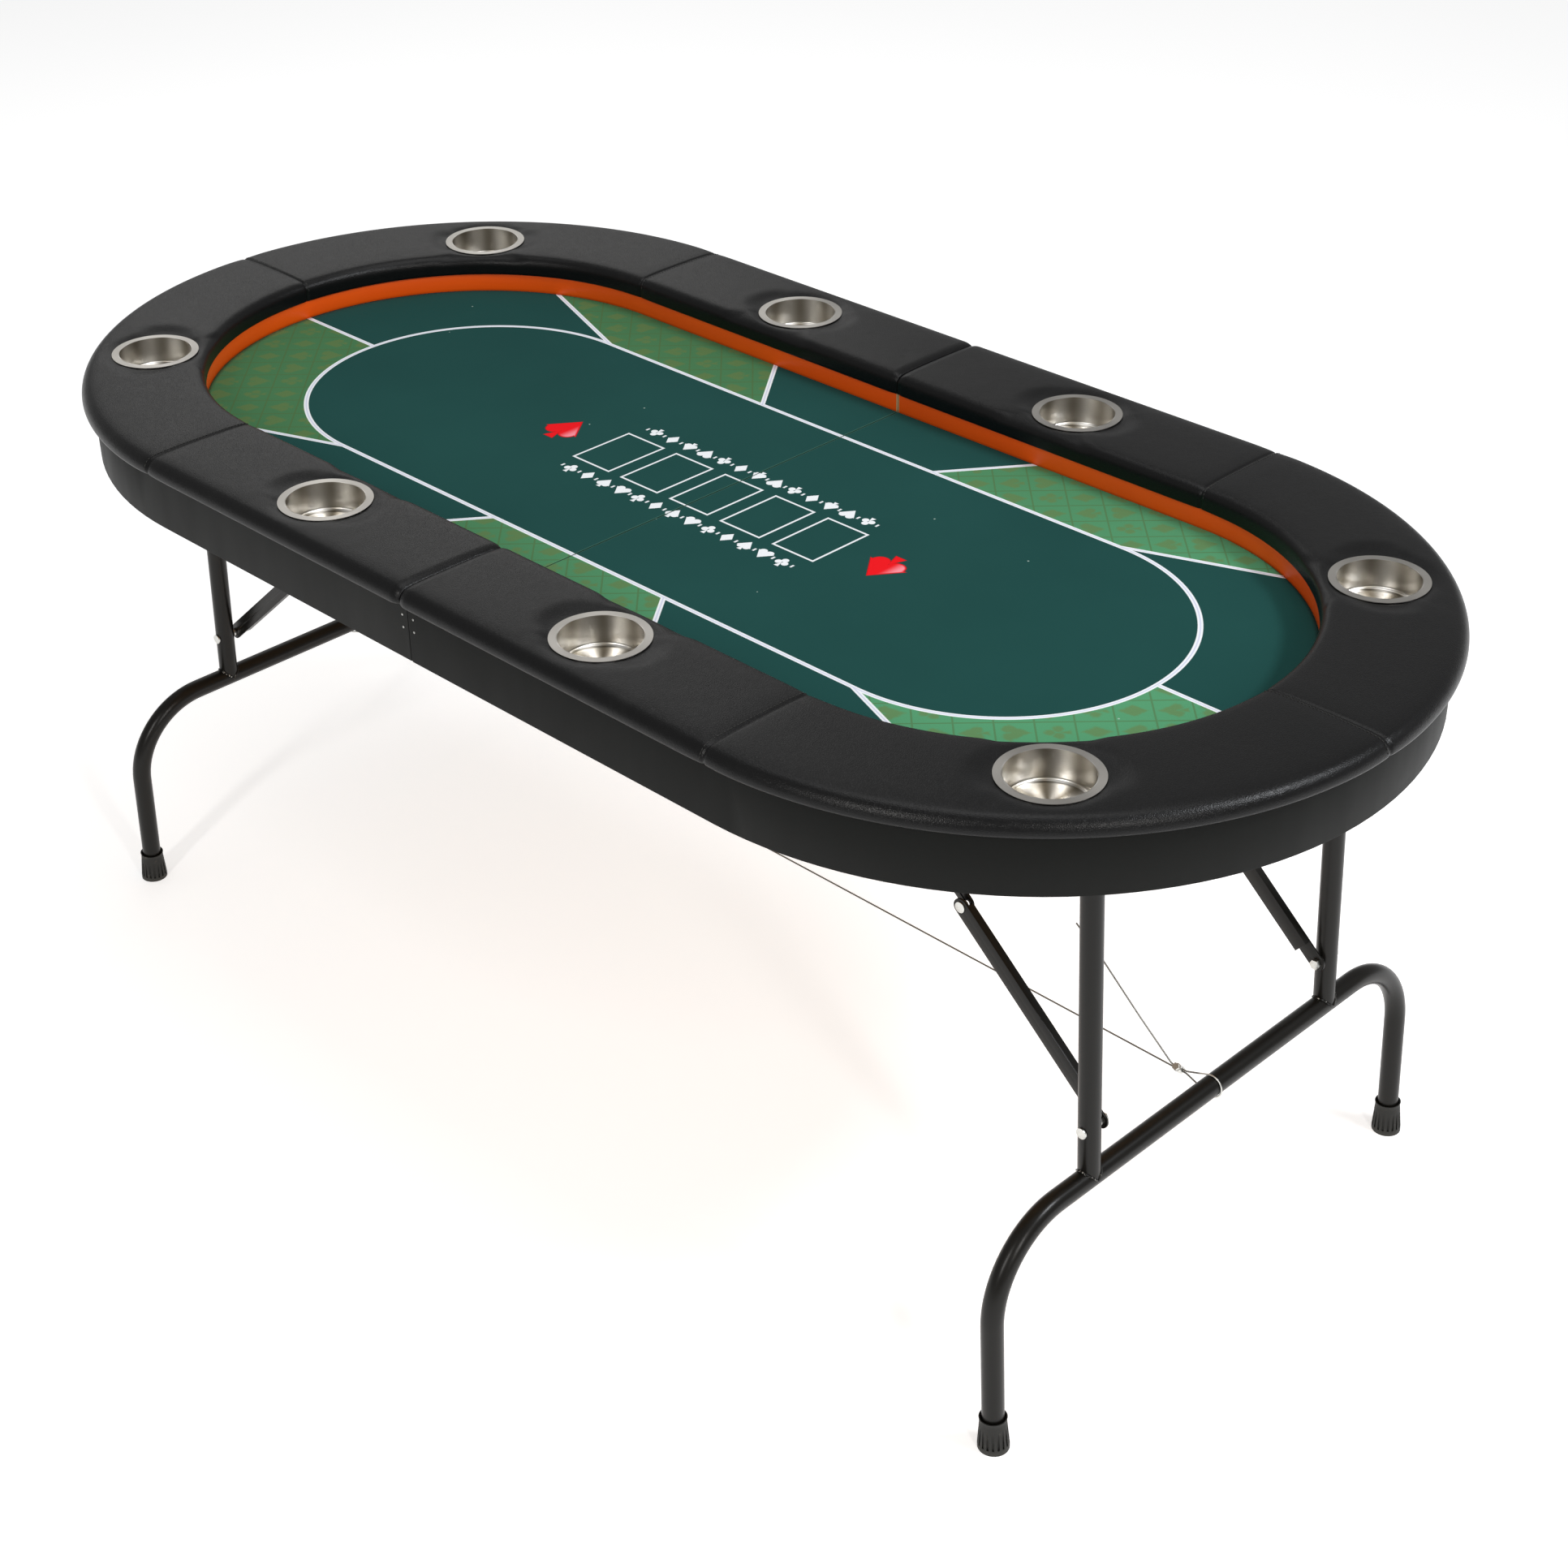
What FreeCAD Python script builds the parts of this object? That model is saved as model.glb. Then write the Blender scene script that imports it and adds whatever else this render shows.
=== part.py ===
import FreeCAD, Part
import math
import os

import Sketcher
from FreeCAD import Placement, Rotation, Vector

# Folding eight-seat poker table, millimetres.  +Z is up, +X runs along the long axis to the right half,
# and the origin is on the floor under the middle of the table.  The table is split at x = 0.  Each half
# is drawn in the frame of the right half, and the left half is the same half turned 180 degrees about Z.

SIZES = {
    # plan: a stadium made of two straight stretches and two half circles
    "arc_centre": 457.5,        # half the straight stretch: x of the centre of each half circle
    "split_gap": 0.4,           # half the gap between the two halves at x = 0
    "cushion_outer": 457.0,
    "cushion_inner": 308.0,
    "rail_outer": 447.0,
    "wall_inner": 312.0,
    "wall_outer": 326.0,
    "skirt_outer": 444.0,
    "skirt_inner": 432.0,
    "board_radius": 431.8,
    "felt_radius": 311.7,
    "rail_inner": 312.2,
    # heights above the floor
    "crest_top": 762.0,         # 30 inches
    "rim_top": 758.0,
    "rail_top": 747.0,
    "rail_bottom": 737.5,
    "lip_bottom": 733.0,
    "roll_bottom": 738.2,
    "skirt_top": 737.3,
    "skirt_bottom": 668.5,
    "felt_top": 710.0,
    "board_top": 708.8,
    "board_bottom": 699.8,
    "cushion_gap": 0.3,         # air between the cushion and the rail that it wraps
    "roll_outer": 15.0,         # roundings of the cushion's edges
    "roll_inner": 10.0,
    "roll_under": 7.0,
    # cup holders
    "side_cup_x": 227.0,
    "side_cup_y": 375.0,
    "end_cup_x": 720.0,
    "end_cup_y": 265.5,
    "cup_bore": 44.0,
    "cup_flange": 53.0,
    "cup_sheet": 0.8,
    "cup_depth": 34.0,
    "cup_corner": 4.0,
    "cup_hole": 45.3,
    "cushion_hole": 53.4,
    # batten that closes each half along the split
    "batten_width": 18.0,
    "batten_end": 430.0,
    # hinges under the split
    "hinge_drop": 4.0,          # hinge axis below the skirt
    "hinge_place": 250.0,
    "hinge_length": 75.0,
    "knuckle_radius": 3.6,
    "knuckle_gap": 0.4,
    "leaf_thick": 1.8,
    "leaf_reach": 17.0,
    "leaf_notch": 4.2,
    "hinge_screw": 22.5,        # along the leaf from its middle to each screw
    "hinge_pin": 1.6,
    # leg frames
    "leg_pivot_x": 727.6,
    "leg_pivot_z": 682.5,
    "leg_splay": 3.0,           # degrees outward from vertical
    "tube_radius": 12.0,
    "tube_bore": 10.6,
    "upright_y": 206.0,
    "upright_above": 5.0,
    "bar_height": 260.0,
    "foot_y": 358.0,
    "bend_radius": 100.0,
    "weld_gap": 0.05,
    "pivot_bar_radius": 6.0,
    "pivot_bar_half": 231.0,
    "running_gap": 0.1,
    "foot_bottom_radius": 17.0,
    "foot_top_radius": 14.4,
    "foot_tall": 40.0,
    "foot_pad": 7.0,            # rubber under the tube's end
    "foot_flutes": 18.0,
    "foot_under": 2.0,          # rubber below the floor's plane, cut away level
    "foot_base": 5.0,           # height of the straight foot below the cone
    "foot_neck": 4.0,           # height of the lip round the top
    "foot_lip": 0.7,            # the lip stands this far out from the cone
    "foot_mouth": 6.0,          # height of the funnel that opens to the lip
    "foot_mouth_in": 0.5,
    "foot_block": 102.0,        # edge of the block that cuts the foot level
    "flute_width": 2.4,
    "flute_low": 6.0,
    "flute_top": 9.0,           # below the top of the cap
    "flute_start": 2.0,         # the cutter starts this far outside the foot
    "flute_cut": 4.1,           # and reaches this far in
    # leg brackets under the board
    "bracket_inner_y": 222.0,
    "bracket_thick": 3.0,
    "bracket_radius": 13.0,
    "bracket_flange": 24.0,
    "bracket_margin": 4.0,      # flange beyond the ear on both sides
    # folding braces
    "brace_low": 361.0,         # along the leg from its pivot to the lower brace's pin
    "anchor_x": 334.0,
    "brace_near": 189.5,        # |y| of the lower brace's face beside the upright
    "brace_plate": 2.5,
    "brace_half": 9.5,
    "brace_depth": 9.5,
    "brace_tube_start": 24.0,
    "brace_tube_end": 34.0,
    "stop_length": 30.0,
    "stop_thick": 2.0,
    "upper_near": 179.5,        # |y| of the upper brace's face beside the lower brace
    "upper_thick": 3.0,
    "upper_half": 8.0,
    "pin_radius": 3.1,
    "pin_gap": 0.08,
    "pin_head": 6.2,
    "pin_head_tall": 1.9,
    "nut_tall": 4.6,
    "spacer_radius": 5.2,
    "stud_head": 5.5,
    "rivet_head_tall": 1.5,
    "rivet_tail": 4.3,
    "rivet_tail_long": 5.4,
    "anchor_thick": 3.0,
    "anchor_half": 9.0,
    "anchor_flange": 23.0,
    # screws under the board
    "screw_head": 4.0,
    "screw_head_tall": 1.6,
    "screw_shank": 1.9,
    "screw_long": 7.0,
    "screw_hole": 2.1,
    "cut_over": 1.0,            # cutters and joined blocks reach this far past the face they meet
    # steel cable between the two crossbars
    "cable_radius": 1.0,
    "cable_loop": 13.4,
    "clip_distance": 43.0,
    "clip_throat": 10.0,        # from the clip's middle to where the strands part
    "clip_radius": 4.5,
    "clip_half": 6.0,
    "clip_nut_radius": 4.2,
    "clip_nut_tall": 4.5,
    "clip_slot_below": 0.3,
    "clip_slot_above": 0.9,
    "strand_offset": 1.35,
    "cable_start": 16.0,        # cut end beyond the left clip
    "cable_bend": 24.0,         # bends where a strand leaves its clip
    "tail_bend": 12.0,
    "tail_curve": 300.0,
}

SIDES = {"right": 0.0, "left": 180.0}
KNUCKLES = {"right": (0, 2, 4), "left": (1, 3)}     # of the five knuckles of a hinge
CABLE_TAIL = [(-58.0, 40.0), (-110.0, 86.0), (-150.0, 117.0)]    # x and z from the right clip
CLIP_TILT = Vector(0, -1, 1).normalize()
NEAR = 0.01                 # places closer than this are the same place
LEAST_CUT = 1e-3            # a cut that takes less volume than this has missed
VOLUME_SHARE = 1e-3         # how far a checked volume may be off

doc = FreeCAD.newDocument("poker_table")
sheet = doc.addObject("Spreadsheet::Sheet", "sizes")
for row, (alias, value) in enumerate(SIZES.items(), start=1):
    sheet.set(f"A{row}", alias)
    sheet.set(f"B{row}", str(value))
    sheet.setAlias(f"B{row}", alias)
doc.recompute()

nodes = []


def size(alias):
    """A driving dimension, read from the sheet."""
    return float(getattr(sheet, alias))


def link(alias):
    """The same dimension as an expression."""
    return f"sizes.{alias}"


def side_turn(side):
    return Placement(Vector(0, 0, 0), Rotation(Vector(0, 0, 1), SIDES[side]))


def leg_place():
    """The leg frame: origin on the pivot, -Z down the splayed leg."""
    origin = Vector(size("leg_pivot_x"), 0, size("leg_pivot_z"))
    return Placement(origin, Rotation(Vector(0, 1, 0), -size("leg_splay")))


def front_or_rear(side, hand):
    """hand is -1 for the half frame's -Y: that is the front on the right half and the rear on the left."""
    return "front" if (hand < 0) == (side == "right") else "rear"


def keep(thing, label):
    thing.Label = label
    nodes.append(thing)
    return thing


# ---------------------------------------------------------------- sketches and bodies

def new_body(label, placement):
    body = doc.addObject("PartDesign::Body", label)
    body.Placement = placement
    return keep(body, label)


def plane(body, role):
    return next(feature for feature in body.Origin.OriginFeatures if feature.Role == role)


def new_sketch(body, name, role, offset=None):
    """A sketch on one of the body's own planes, moved along the plane's normal by an expression."""
    sketch = body.newObject("Sketcher::SketchObject", f"{body.Name}_{name}")
    sketch.AttachmentSupport = [(plane(body, role), "")]
    sketch.MapMode = "FlatFace"
    if offset is not None:
        sketch.setExpression("AttachmentOffset.Base.z", offset)
    return sketch


def bind(sketch, constraint, expression):
    index = sketch.addConstraint(constraint)
    sketch.setExpression(f"Constraints[{index}]", expression)


def number(expression):
    """The present value of an expression over the sheet, for a sketch's first shape."""
    return float(sheet.evalExpression(expression.replace("sizes.", "")))


def rectangle(sketch, left, right, low, high):
    x_low, x_high, y_low, y_high = (number(text) for text in (left, right, low, high))
    corners = [Vector(x_low, y_low), Vector(x_high, y_low), Vector(x_high, y_high), Vector(x_low, y_high)]
    for index in range(4):
        sketch.addGeometry(Part.LineSegment(corners[index], corners[(index + 1) % 4]))
    for index in range(4):
        sketch.addConstraint(Sketcher.Constraint("Coincident", index, 2, (index + 1) % 4, 1))
    for index, kind in enumerate(("Horizontal", "Vertical", "Horizontal", "Vertical")):
        sketch.addConstraint(Sketcher.Constraint(kind, index))
    bind(sketch, Sketcher.Constraint("DistanceX", -1, 1, 0, 1, x_low), left)
    bind(sketch, Sketcher.Constraint("DistanceX", -1, 1, 1, 1, x_high), right)
    bind(sketch, Sketcher.Constraint("DistanceY", -1, 1, 0, 1, y_low), low)
    bind(sketch, Sketcher.Constraint("DistanceY", -1, 1, 2, 1, y_high), high)


def circle(sketch, centre_x, centre_y, radius):
    x_at, y_at, r_at = (number(text) for text in (centre_x, centre_y, radius))
    index = sketch.addGeometry(Part.Circle(Vector(x_at, y_at), Vector(0, 0, 1), r_at))
    bind(sketch, Sketcher.Constraint("DistanceX", -1, 1, index, 3, x_at), centre_x)
    bind(sketch, Sketcher.Constraint("DistanceY", -1, 1, index, 3, y_at), centre_y)
    bind(sketch, Sketcher.Constraint("Radius", index, r_at), radius)


def half_stadium(sketch, radius):
    """The plan of one half: straight sides from the split to the arc's centre, then a half circle."""
    gap, centre, reach = size("split_gap"), size("arc_centre"), number(radius)
    arc = Part.Circle(Vector(centre, 0), Vector(0, 0, 1), reach)
    sketch.addGeometry(Part.LineSegment(Vector(gap, -reach), Vector(centre, -reach)))
    sketch.addGeometry(Part.ArcOfCircle(arc, -math.pi / 2, math.pi / 2))
    sketch.addGeometry(Part.LineSegment(Vector(centre, reach), Vector(gap, reach)))
    sketch.addGeometry(Part.LineSegment(Vector(gap, reach), Vector(gap, -reach)))
    sketch.addConstraint(Sketcher.Constraint("Tangent", 0, 2, 1, 1))
    sketch.addConstraint(Sketcher.Constraint("Tangent", 1, 2, 2, 1))
    sketch.addConstraint(Sketcher.Constraint("Coincident", 2, 2, 3, 1))
    sketch.addConstraint(Sketcher.Constraint("Coincident", 3, 2, 0, 1))
    sketch.addConstraint(Sketcher.Constraint("Horizontal", 0))
    sketch.addConstraint(Sketcher.Constraint("Vertical", 3))
    sketch.addConstraint(Sketcher.Constraint("PointOnObject", 1, 3, -1))
    bind(sketch, Sketcher.Constraint("DistanceX", -1, 1, 1, 3, centre), link("arc_centre"))
    bind(sketch, Sketcher.Constraint("DistanceX", -1, 1, 0, 1, gap), link("split_gap"))
    bind(sketch, Sketcher.Constraint("Radius", 1, reach), radius)


def strip(sketch, start, end, half_width):
    """A bar along X with round ends, about the points start and end on the X axis."""
    first, last, reach = (number(text) for text in (start, end, half_width))
    left = Part.Circle(Vector(first, 0), Vector(0, 0, 1), reach)
    right = Part.Circle(Vector(last, 0), Vector(0, 0, 1), reach)
    sketch.addGeometry(Part.LineSegment(Vector(first, -reach), Vector(last, -reach)))
    sketch.addGeometry(Part.ArcOfCircle(right, -math.pi / 2, math.pi / 2))
    sketch.addGeometry(Part.LineSegment(Vector(last, reach), Vector(first, reach)))
    sketch.addGeometry(Part.ArcOfCircle(left, math.pi / 2, 3 * math.pi / 2))
    for index in range(4):
        sketch.addConstraint(Sketcher.Constraint("Tangent", index, 2, (index + 1) % 4, 1))
    sketch.addConstraint(Sketcher.Constraint("PointOnObject", 1, 3, -1))
    sketch.addConstraint(Sketcher.Constraint("PointOnObject", 3, 3, -1))
    bind(sketch, Sketcher.Constraint("DistanceX", -1, 1, 3, 3, first), start)
    bind(sketch, Sketcher.Constraint("DistanceX", -1, 1, 1, 3, last), end)
    bind(sketch, Sketcher.Constraint("Radius", 1, reach), half_width)


def polygon(sketch, points):
    """A closed outline of straight sides.  Each point is a pair of expressions."""
    placed = [Vector(number(first), number(second)) for first, second in points]
    count = len(placed)
    for index in range(count):
        sketch.addGeometry(Part.LineSegment(placed[index], placed[(index + 1) % count]))
    for index in range(count):
        sketch.addConstraint(Sketcher.Constraint("Coincident", index, 2, (index + 1) % count, 1))
    for index, (first, second) in enumerate(points):
        bind(sketch, Sketcher.Constraint("DistanceX", -1, 1, index, 1, placed[index].x), first)
        bind(sketch, Sketcher.Constraint("DistanceY", -1, 1, index, 1, placed[index].y), second)


def pad(body, sketch, length, reverse=False, middle=False):
    feature = body.newObject("PartDesign::Pad", f"{sketch.Name}_pad")
    feature.Profile = sketch
    feature.Reversed = reverse
    feature.Midplane = middle
    feature.setExpression("Length", length)
    return feature


def pocket(body, sketch, length, reverse=False, middle=False):
    """A pocket that must take some material away."""
    doc.recompute()
    before = body.Shape.Volume
    feature = body.newObject("PartDesign::Pocket", f"{sketch.Name}_pocket")
    feature.Profile = sketch
    feature.Reversed = reverse
    feature.Midplane = middle
    feature.setExpression("Length", length)
    doc.recompute()
    if body.Shape.Volume > before - LEAST_CUT:
        raise RuntimeError(f"{feature.Name} cuts nothing")
    return feature


def revolve(body, sketch, angle, reverse=False):
    feature = body.newObject("PartDesign::Revolution", f"{sketch.Name}_revolution")
    feature.Profile = sketch
    feature.ReferenceAxis = (sketch, ["V_Axis"])
    feature.Reversed = reverse
    feature.Angle = angle
    return feature


def half_ring(body, name, inner, outer, low, high):
    """A band along the stadium: straight from the split, mirrored in y = 0, and turned round the end."""
    sketch = new_sketch(body, name, "YZ_Plane", link("arc_centre"))
    rectangle(sketch, link(inner), link(outer), link(low), link(high))
    straight = pad(body, sketch, "sizes.arc_centre - sizes.split_gap", reverse=True)
    other = body.newObject("PartDesign::Mirrored", f"{sketch.Name}_mirror")
    other.Originals = [straight]
    other.MirrorPlane = (plane(body, "XZ_Plane"), [""])
    body.Tip = other
    doc.recompute()
    revolve(body, sketch, 180.0, reverse=True)
    doc.recompute()
    area = (size(outer) - size(inner)) * (size(high) - size(low))
    mean = (size(outer) + size(inner)) / 2
    expected = area * (2 * (size("arc_centre") - size("split_gap")) + math.pi * mean)
    return expected


def check_volume(body, expected):
    doc.recompute()
    if abs(body.Shape.Volume - expected) > VOLUME_SHARE * expected:
        raise RuntimeError(f"{body.Label}: volume {body.Shape.Volume:.0f}, expected {expected:.0f}")


def edge_names(shape, wanted):
    return [f"Edge{index}" for index, edge in enumerate(shape.Edges, start=1) if wanted(edge)]


def fillet(body, name, radius, wanted):
    doc.recompute()
    base = body.Tip
    feature = body.newObject("PartDesign::Fillet", f"{body.Name}_{name}")
    feature.Base = (base, edge_names(base.Shape, wanted))
    feature.setExpression("Radius", radius)
    doc.recompute()
    return feature


def on_ring(edge, radius, height):
    """True for the edges of the stadium of this radius at this height, split ends left out."""
    middle = edge.valueAt((edge.FirstParameter + edge.LastParameter) / 2)
    beyond = max(0.0, middle.x - size("arc_centre"))
    away = math.hypot(beyond, middle.y)
    along_split = edge.BoundBox.XLength < NEAR
    return abs(away - radius) < NEAR and abs(middle.z - height) < NEAR and not along_split


# ---------------------------------------------------------------- table top

CUP_PLACES = [("side", "side_cup_x", "side_cup_y"), ("end", "end_cup_x", "end_cup_y")]


def cup_holes(body, radius, length):
    """Round holes for the four cup holders of a half, cut down from above the rail."""
    for hand in (-1, 1):
        for place, along, across in CUP_PLACES:
            name = f"{place}_hole_{'minus' if hand < 0 else 'plus'}"
            sketch = new_sketch(body, name, "XY_Plane", link("crest_top"))
            circle(sketch, link(along), f"{hand} * {link(across)}", link(radius))
            pocket(body, sketch, length)


def flat_half(label, side, radius, low, high):
    body = new_body(label, side_turn(side))
    sketch = new_sketch(body, "plan", "XY_Plane", link(low))
    half_stadium(sketch, link(radius))
    pad(body, sketch, f"{link(high)} - {link(low)}")
    straight = size("arc_centre") - size("split_gap")
    area = 2 * size(radius) * straight + math.pi * size(radius) ** 2 / 2
    check_volume(body, area * (size(high) - size(low)))


def band(label, side, inner, outer, low, high):
    body = new_body(label, side_turn(side))
    expected = half_ring(body, "section", inner, outer, low, high)
    check_volume(body, expected)
    return body


def rail_cushion(side):
    """The padded cover: a slab that wraps the wooden rail on its top and both edges, with round edges."""
    body = new_body(f"{side}_rail_cushion", side_turn(side))
    half_ring(body, "slab", "cushion_inner", "cushion_outer", "lip_bottom", "crest_top")
    below = "sizes.lip_bottom - sizes.cut_over"
    cuts = [("recess", "sizes.wall_inner - sizes.cushion_gap", "sizes.rail_outer + sizes.cushion_gap",
             "sizes.rail_top + sizes.cushion_gap"),
            ("roll", "sizes.rail_outer", "sizes.cushion_outer + sizes.cut_over", "sizes.roll_bottom")]
    for name, inner, outer, high in cuts:
        sketch = new_sketch(body, name, "YZ_Plane", link("arc_centre"))
        rectangle(sketch, inner, outer, below, high)
        straight = pocket(body, sketch, link("arc_centre"))
        other = body.newObject("PartDesign::Mirrored", f"{sketch.Name}_mirror")
        other.Originals = [straight]
        other.MirrorPlane = (plane(body, "XZ_Plane"), [""])
        body.Tip = other
        doc.recompute()
        before = body.Shape.Volume
        groove = body.newObject("PartDesign::Groove", f"{sketch.Name}_groove")
        groove.Profile = sketch
        groove.ReferenceAxis = (sketch, ["V_Axis"])
        groove.Reversed = True
        groove.Angle = 180.0
        doc.recompute()
        if body.Shape.Volume > before - LEAST_CUT:
            raise RuntimeError(f"{groove.Name} cuts nothing")
    rolls = [("outer_roll", "roll_outer", "cushion_outer", "crest_top"),
             ("inner_roll", "roll_inner", "cushion_inner", "crest_top"),
             ("under_roll", "roll_under", "cushion_outer", "roll_bottom")]
    for name, radius, ring, height in rolls:
        fillet(body, name, link(radius), lambda edge: on_ring(edge, size(ring), size(height)))
    cup_holes(body, "cushion_hole", "sizes.crest_top - sizes.lip_bottom + sizes.cut_over")


def rail_base(side):
    body = band(f"{side}_rail_base", side, "rail_inner", "rail_outer", "rail_bottom", "rail_top")
    cup_holes(body, "cup_hole", "sizes.crest_top - sizes.rail_bottom + sizes.cut_over")


def centre_batten(side):
    body = new_body(f"{side}_centre_batten", side_turn(side))
    sketch = new_sketch(body, "plan", "XY_Plane", link("skirt_bottom"))
    rectangle(sketch, link("split_gap"), "sizes.split_gap + sizes.batten_width",
              "-sizes.batten_end", link("batten_end"))
    pad(body, sketch, "sizes.board_bottom - sizes.skirt_bottom")


def cup_holder(label, side, along, across, hand):
    """A pressed steel cup with a flat flange, hung in the rail from its flange."""
    place = side_turn(side) * Placement(Vector(size(along), hand * size(across), 0), Rotation())
    body = new_body(label, place)
    sketch = new_sketch(body, "section", "XZ_Plane")
    floor = "sizes.rim_top - sizes.cup_depth - sizes.cup_sheet"
    inner_floor = "sizes.rim_top - sizes.cup_depth"
    wall = "sizes.cup_bore + sizes.cup_sheet"
    under = "sizes.rim_top - sizes.cup_sheet"
    polygon(sketch, [("0", floor), (wall, floor), (wall, under), (link("cup_flange"), under),
                     (link("cup_flange"), link("rim_top")), (link("cup_bore"), link("rim_top")),
                     (link("cup_bore"), inner_floor), ("0", inner_floor)])
    revolve(body, sketch, 360.0)
    low = size("rim_top") - size("cup_depth")
    for name, radius, height, round_off in (
            ("inner_corner", size("cup_bore"), low, "sizes.cup_corner"),
            ("outer_corner", size("cup_bore") + size("cup_sheet"), low - size("cup_sheet"),
             "sizes.cup_corner + sizes.cup_sheet")):
        fillet(body, name, round_off, lambda edge: is_circle(edge, radius, height))


def is_circle(edge, radius, height):
    curve = edge.Curve
    if not isinstance(curve, Part.Circle):
        return False
    return abs(curve.Radius - radius) < NEAR and abs(curve.Center.z - height) < NEAR


# ---------------------------------------------------------------- leg frames

def floor_reach():
    """Distance along the splayed leg from its pivot to the floor."""
    return size("leg_pivot_z") / math.cos(math.radians(size("leg_splay")))


def bar_reach():
    """Distance along the splayed leg from its pivot to the crossbar's axis."""
    return (size("leg_pivot_z") - size("bar_height")) / math.cos(math.radians(size("leg_splay")))


BAR_REACH = "(sizes.leg_pivot_z - sizes.bar_height) / cos(sizes.leg_splay * 1deg)"
FLOOR_REACH = "sizes.leg_pivot_z / cos(sizes.leg_splay * 1deg)"


def upright(side, hand):
    """A tube from the pivot bar down to the crossbar, coped to fit on it, with two cross holes."""
    body = new_body(f"{side}_upright_{front_or_rear(side, hand)}", side_turn(side) * leg_place())
    sketch = new_sketch(body, "ring", "XY_Plane", link("upright_above"))
    centre = f"{hand} * sizes.upright_y"
    circle(sketch, "0", centre, link("tube_radius"))
    circle(sketch, "0", centre, link("tube_bore"))
    pad(body, sketch, f"sizes.upright_above + {BAR_REACH}", reverse=True)
    crossings = [("cope", f"-{BAR_REACH}", "sizes.tube_radius + sizes.weld_gap"),
                 ("pivot_hole", "0", "sizes.pivot_bar_radius + sizes.weld_gap"),
                 ("brace_hole", "-sizes.brace_low", "sizes.pin_radius + sizes.weld_gap")]
    for name, height, radius in crossings:
        crossing = new_sketch(body, name, "XZ_Plane")
        circle(crossing, "0", height, radius)
        pocket(body, crossing, "2 * (sizes.upright_y + 2 * sizes.tube_radius)", middle=True)


def crossbar(side):
    """One tube: level between the uprights, then bent down at both ends to the feet."""
    body = new_body(f"{side}_crossbar", side_turn(side) * leg_place())
    path = new_sketch(body, "path", "YZ_Plane")
    foot, bend, bar = size("foot_y"), size("bend_radius"), bar_reach()
    end = floor_reach() - size("foot_pad")
    turn = foot - bend
    left = Part.Circle(Vector(-turn, -bar - bend), Vector(0, 0, 1), bend)
    right = Part.Circle(Vector(turn, -bar - bend), Vector(0, 0, 1), bend)
    path.addGeometry(Part.LineSegment(Vector(-foot, -end), Vector(-foot, -bar - bend)))
    path.addGeometry(Part.ArcOfCircle(left, math.pi / 2, math.pi))
    path.addGeometry(Part.LineSegment(Vector(-turn, -bar), Vector(turn, -bar)))
    path.addGeometry(Part.ArcOfCircle(right, 0, math.pi / 2))
    path.addGeometry(Part.LineSegment(Vector(foot, -bar - bend), Vector(foot, -end)))
    for first, first_end, second, second_end in ((0, 2, 1, 2), (1, 1, 2, 1), (2, 2, 3, 2), (3, 1, 4, 1)):
        path.addConstraint(Sketcher.Constraint("Tangent", first, first_end, second, second_end))
    path.addConstraint(Sketcher.Constraint("Vertical", 0))
    path.addConstraint(Sketcher.Constraint("Horizontal", 2))
    path.addConstraint(Sketcher.Constraint("Vertical", 4))
    bind(path, Sketcher.Constraint("DistanceX", -1, 1, 4, 2, foot), link("foot_y"))
    bind(path, Sketcher.Constraint("DistanceX", 0, 1, -1, 1, foot), link("foot_y"))
    bind(path, Sketcher.Constraint("DistanceY", 4, 2, -1, 1, end), f"{FLOOR_REACH} - sizes.foot_pad")
    bind(path, Sketcher.Constraint("DistanceY", 0, 1, -1, 1, end), f"{FLOOR_REACH} - sizes.foot_pad")
    bind(path, Sketcher.Constraint("DistanceY", 2, 1, -1, 1, bar), BAR_REACH)
    bind(path, Sketcher.Constraint("Radius", 1, bend), link("bend_radius"))
    bind(path, Sketcher.Constraint("Radius", 3, bend), link("bend_radius"))
    section = new_sketch(body, "section", "XY_Plane", f"sizes.foot_pad - {FLOOR_REACH}")
    circle(section, "0", "-sizes.foot_y", link("tube_radius"))
    circle(section, "0", "-sizes.foot_y", link("tube_bore"))
    pipe = body.newObject("PartDesign::AdditivePipe", f"{body.Name}_pipe")
    pipe.Profile = section
    pipe.Spine = path
    doc.recompute()
    area = math.pi * (size("tube_radius") ** 2 - size("tube_bore") ** 2)
    length = 2 * (end - bar - bend) + math.pi * bend + 2 * turn
    check_volume(body, area * length)


def pivot_bar(side):
    bar = doc.addObject("Part::Cylinder", f"{side}_pivot_bar")
    bar.setExpression("Radius", link("pivot_bar_radius"))
    bar.setExpression("Height", "2 * sizes.pivot_bar_half")
    across = Placement(Vector(0, size("pivot_bar_half"), 0), Rotation(Vector(1, 0, 0), 90))
    bar.Placement = side_turn(side) * leg_place() * across
    keep(bar, f"{side}_pivot_bar")


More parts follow.
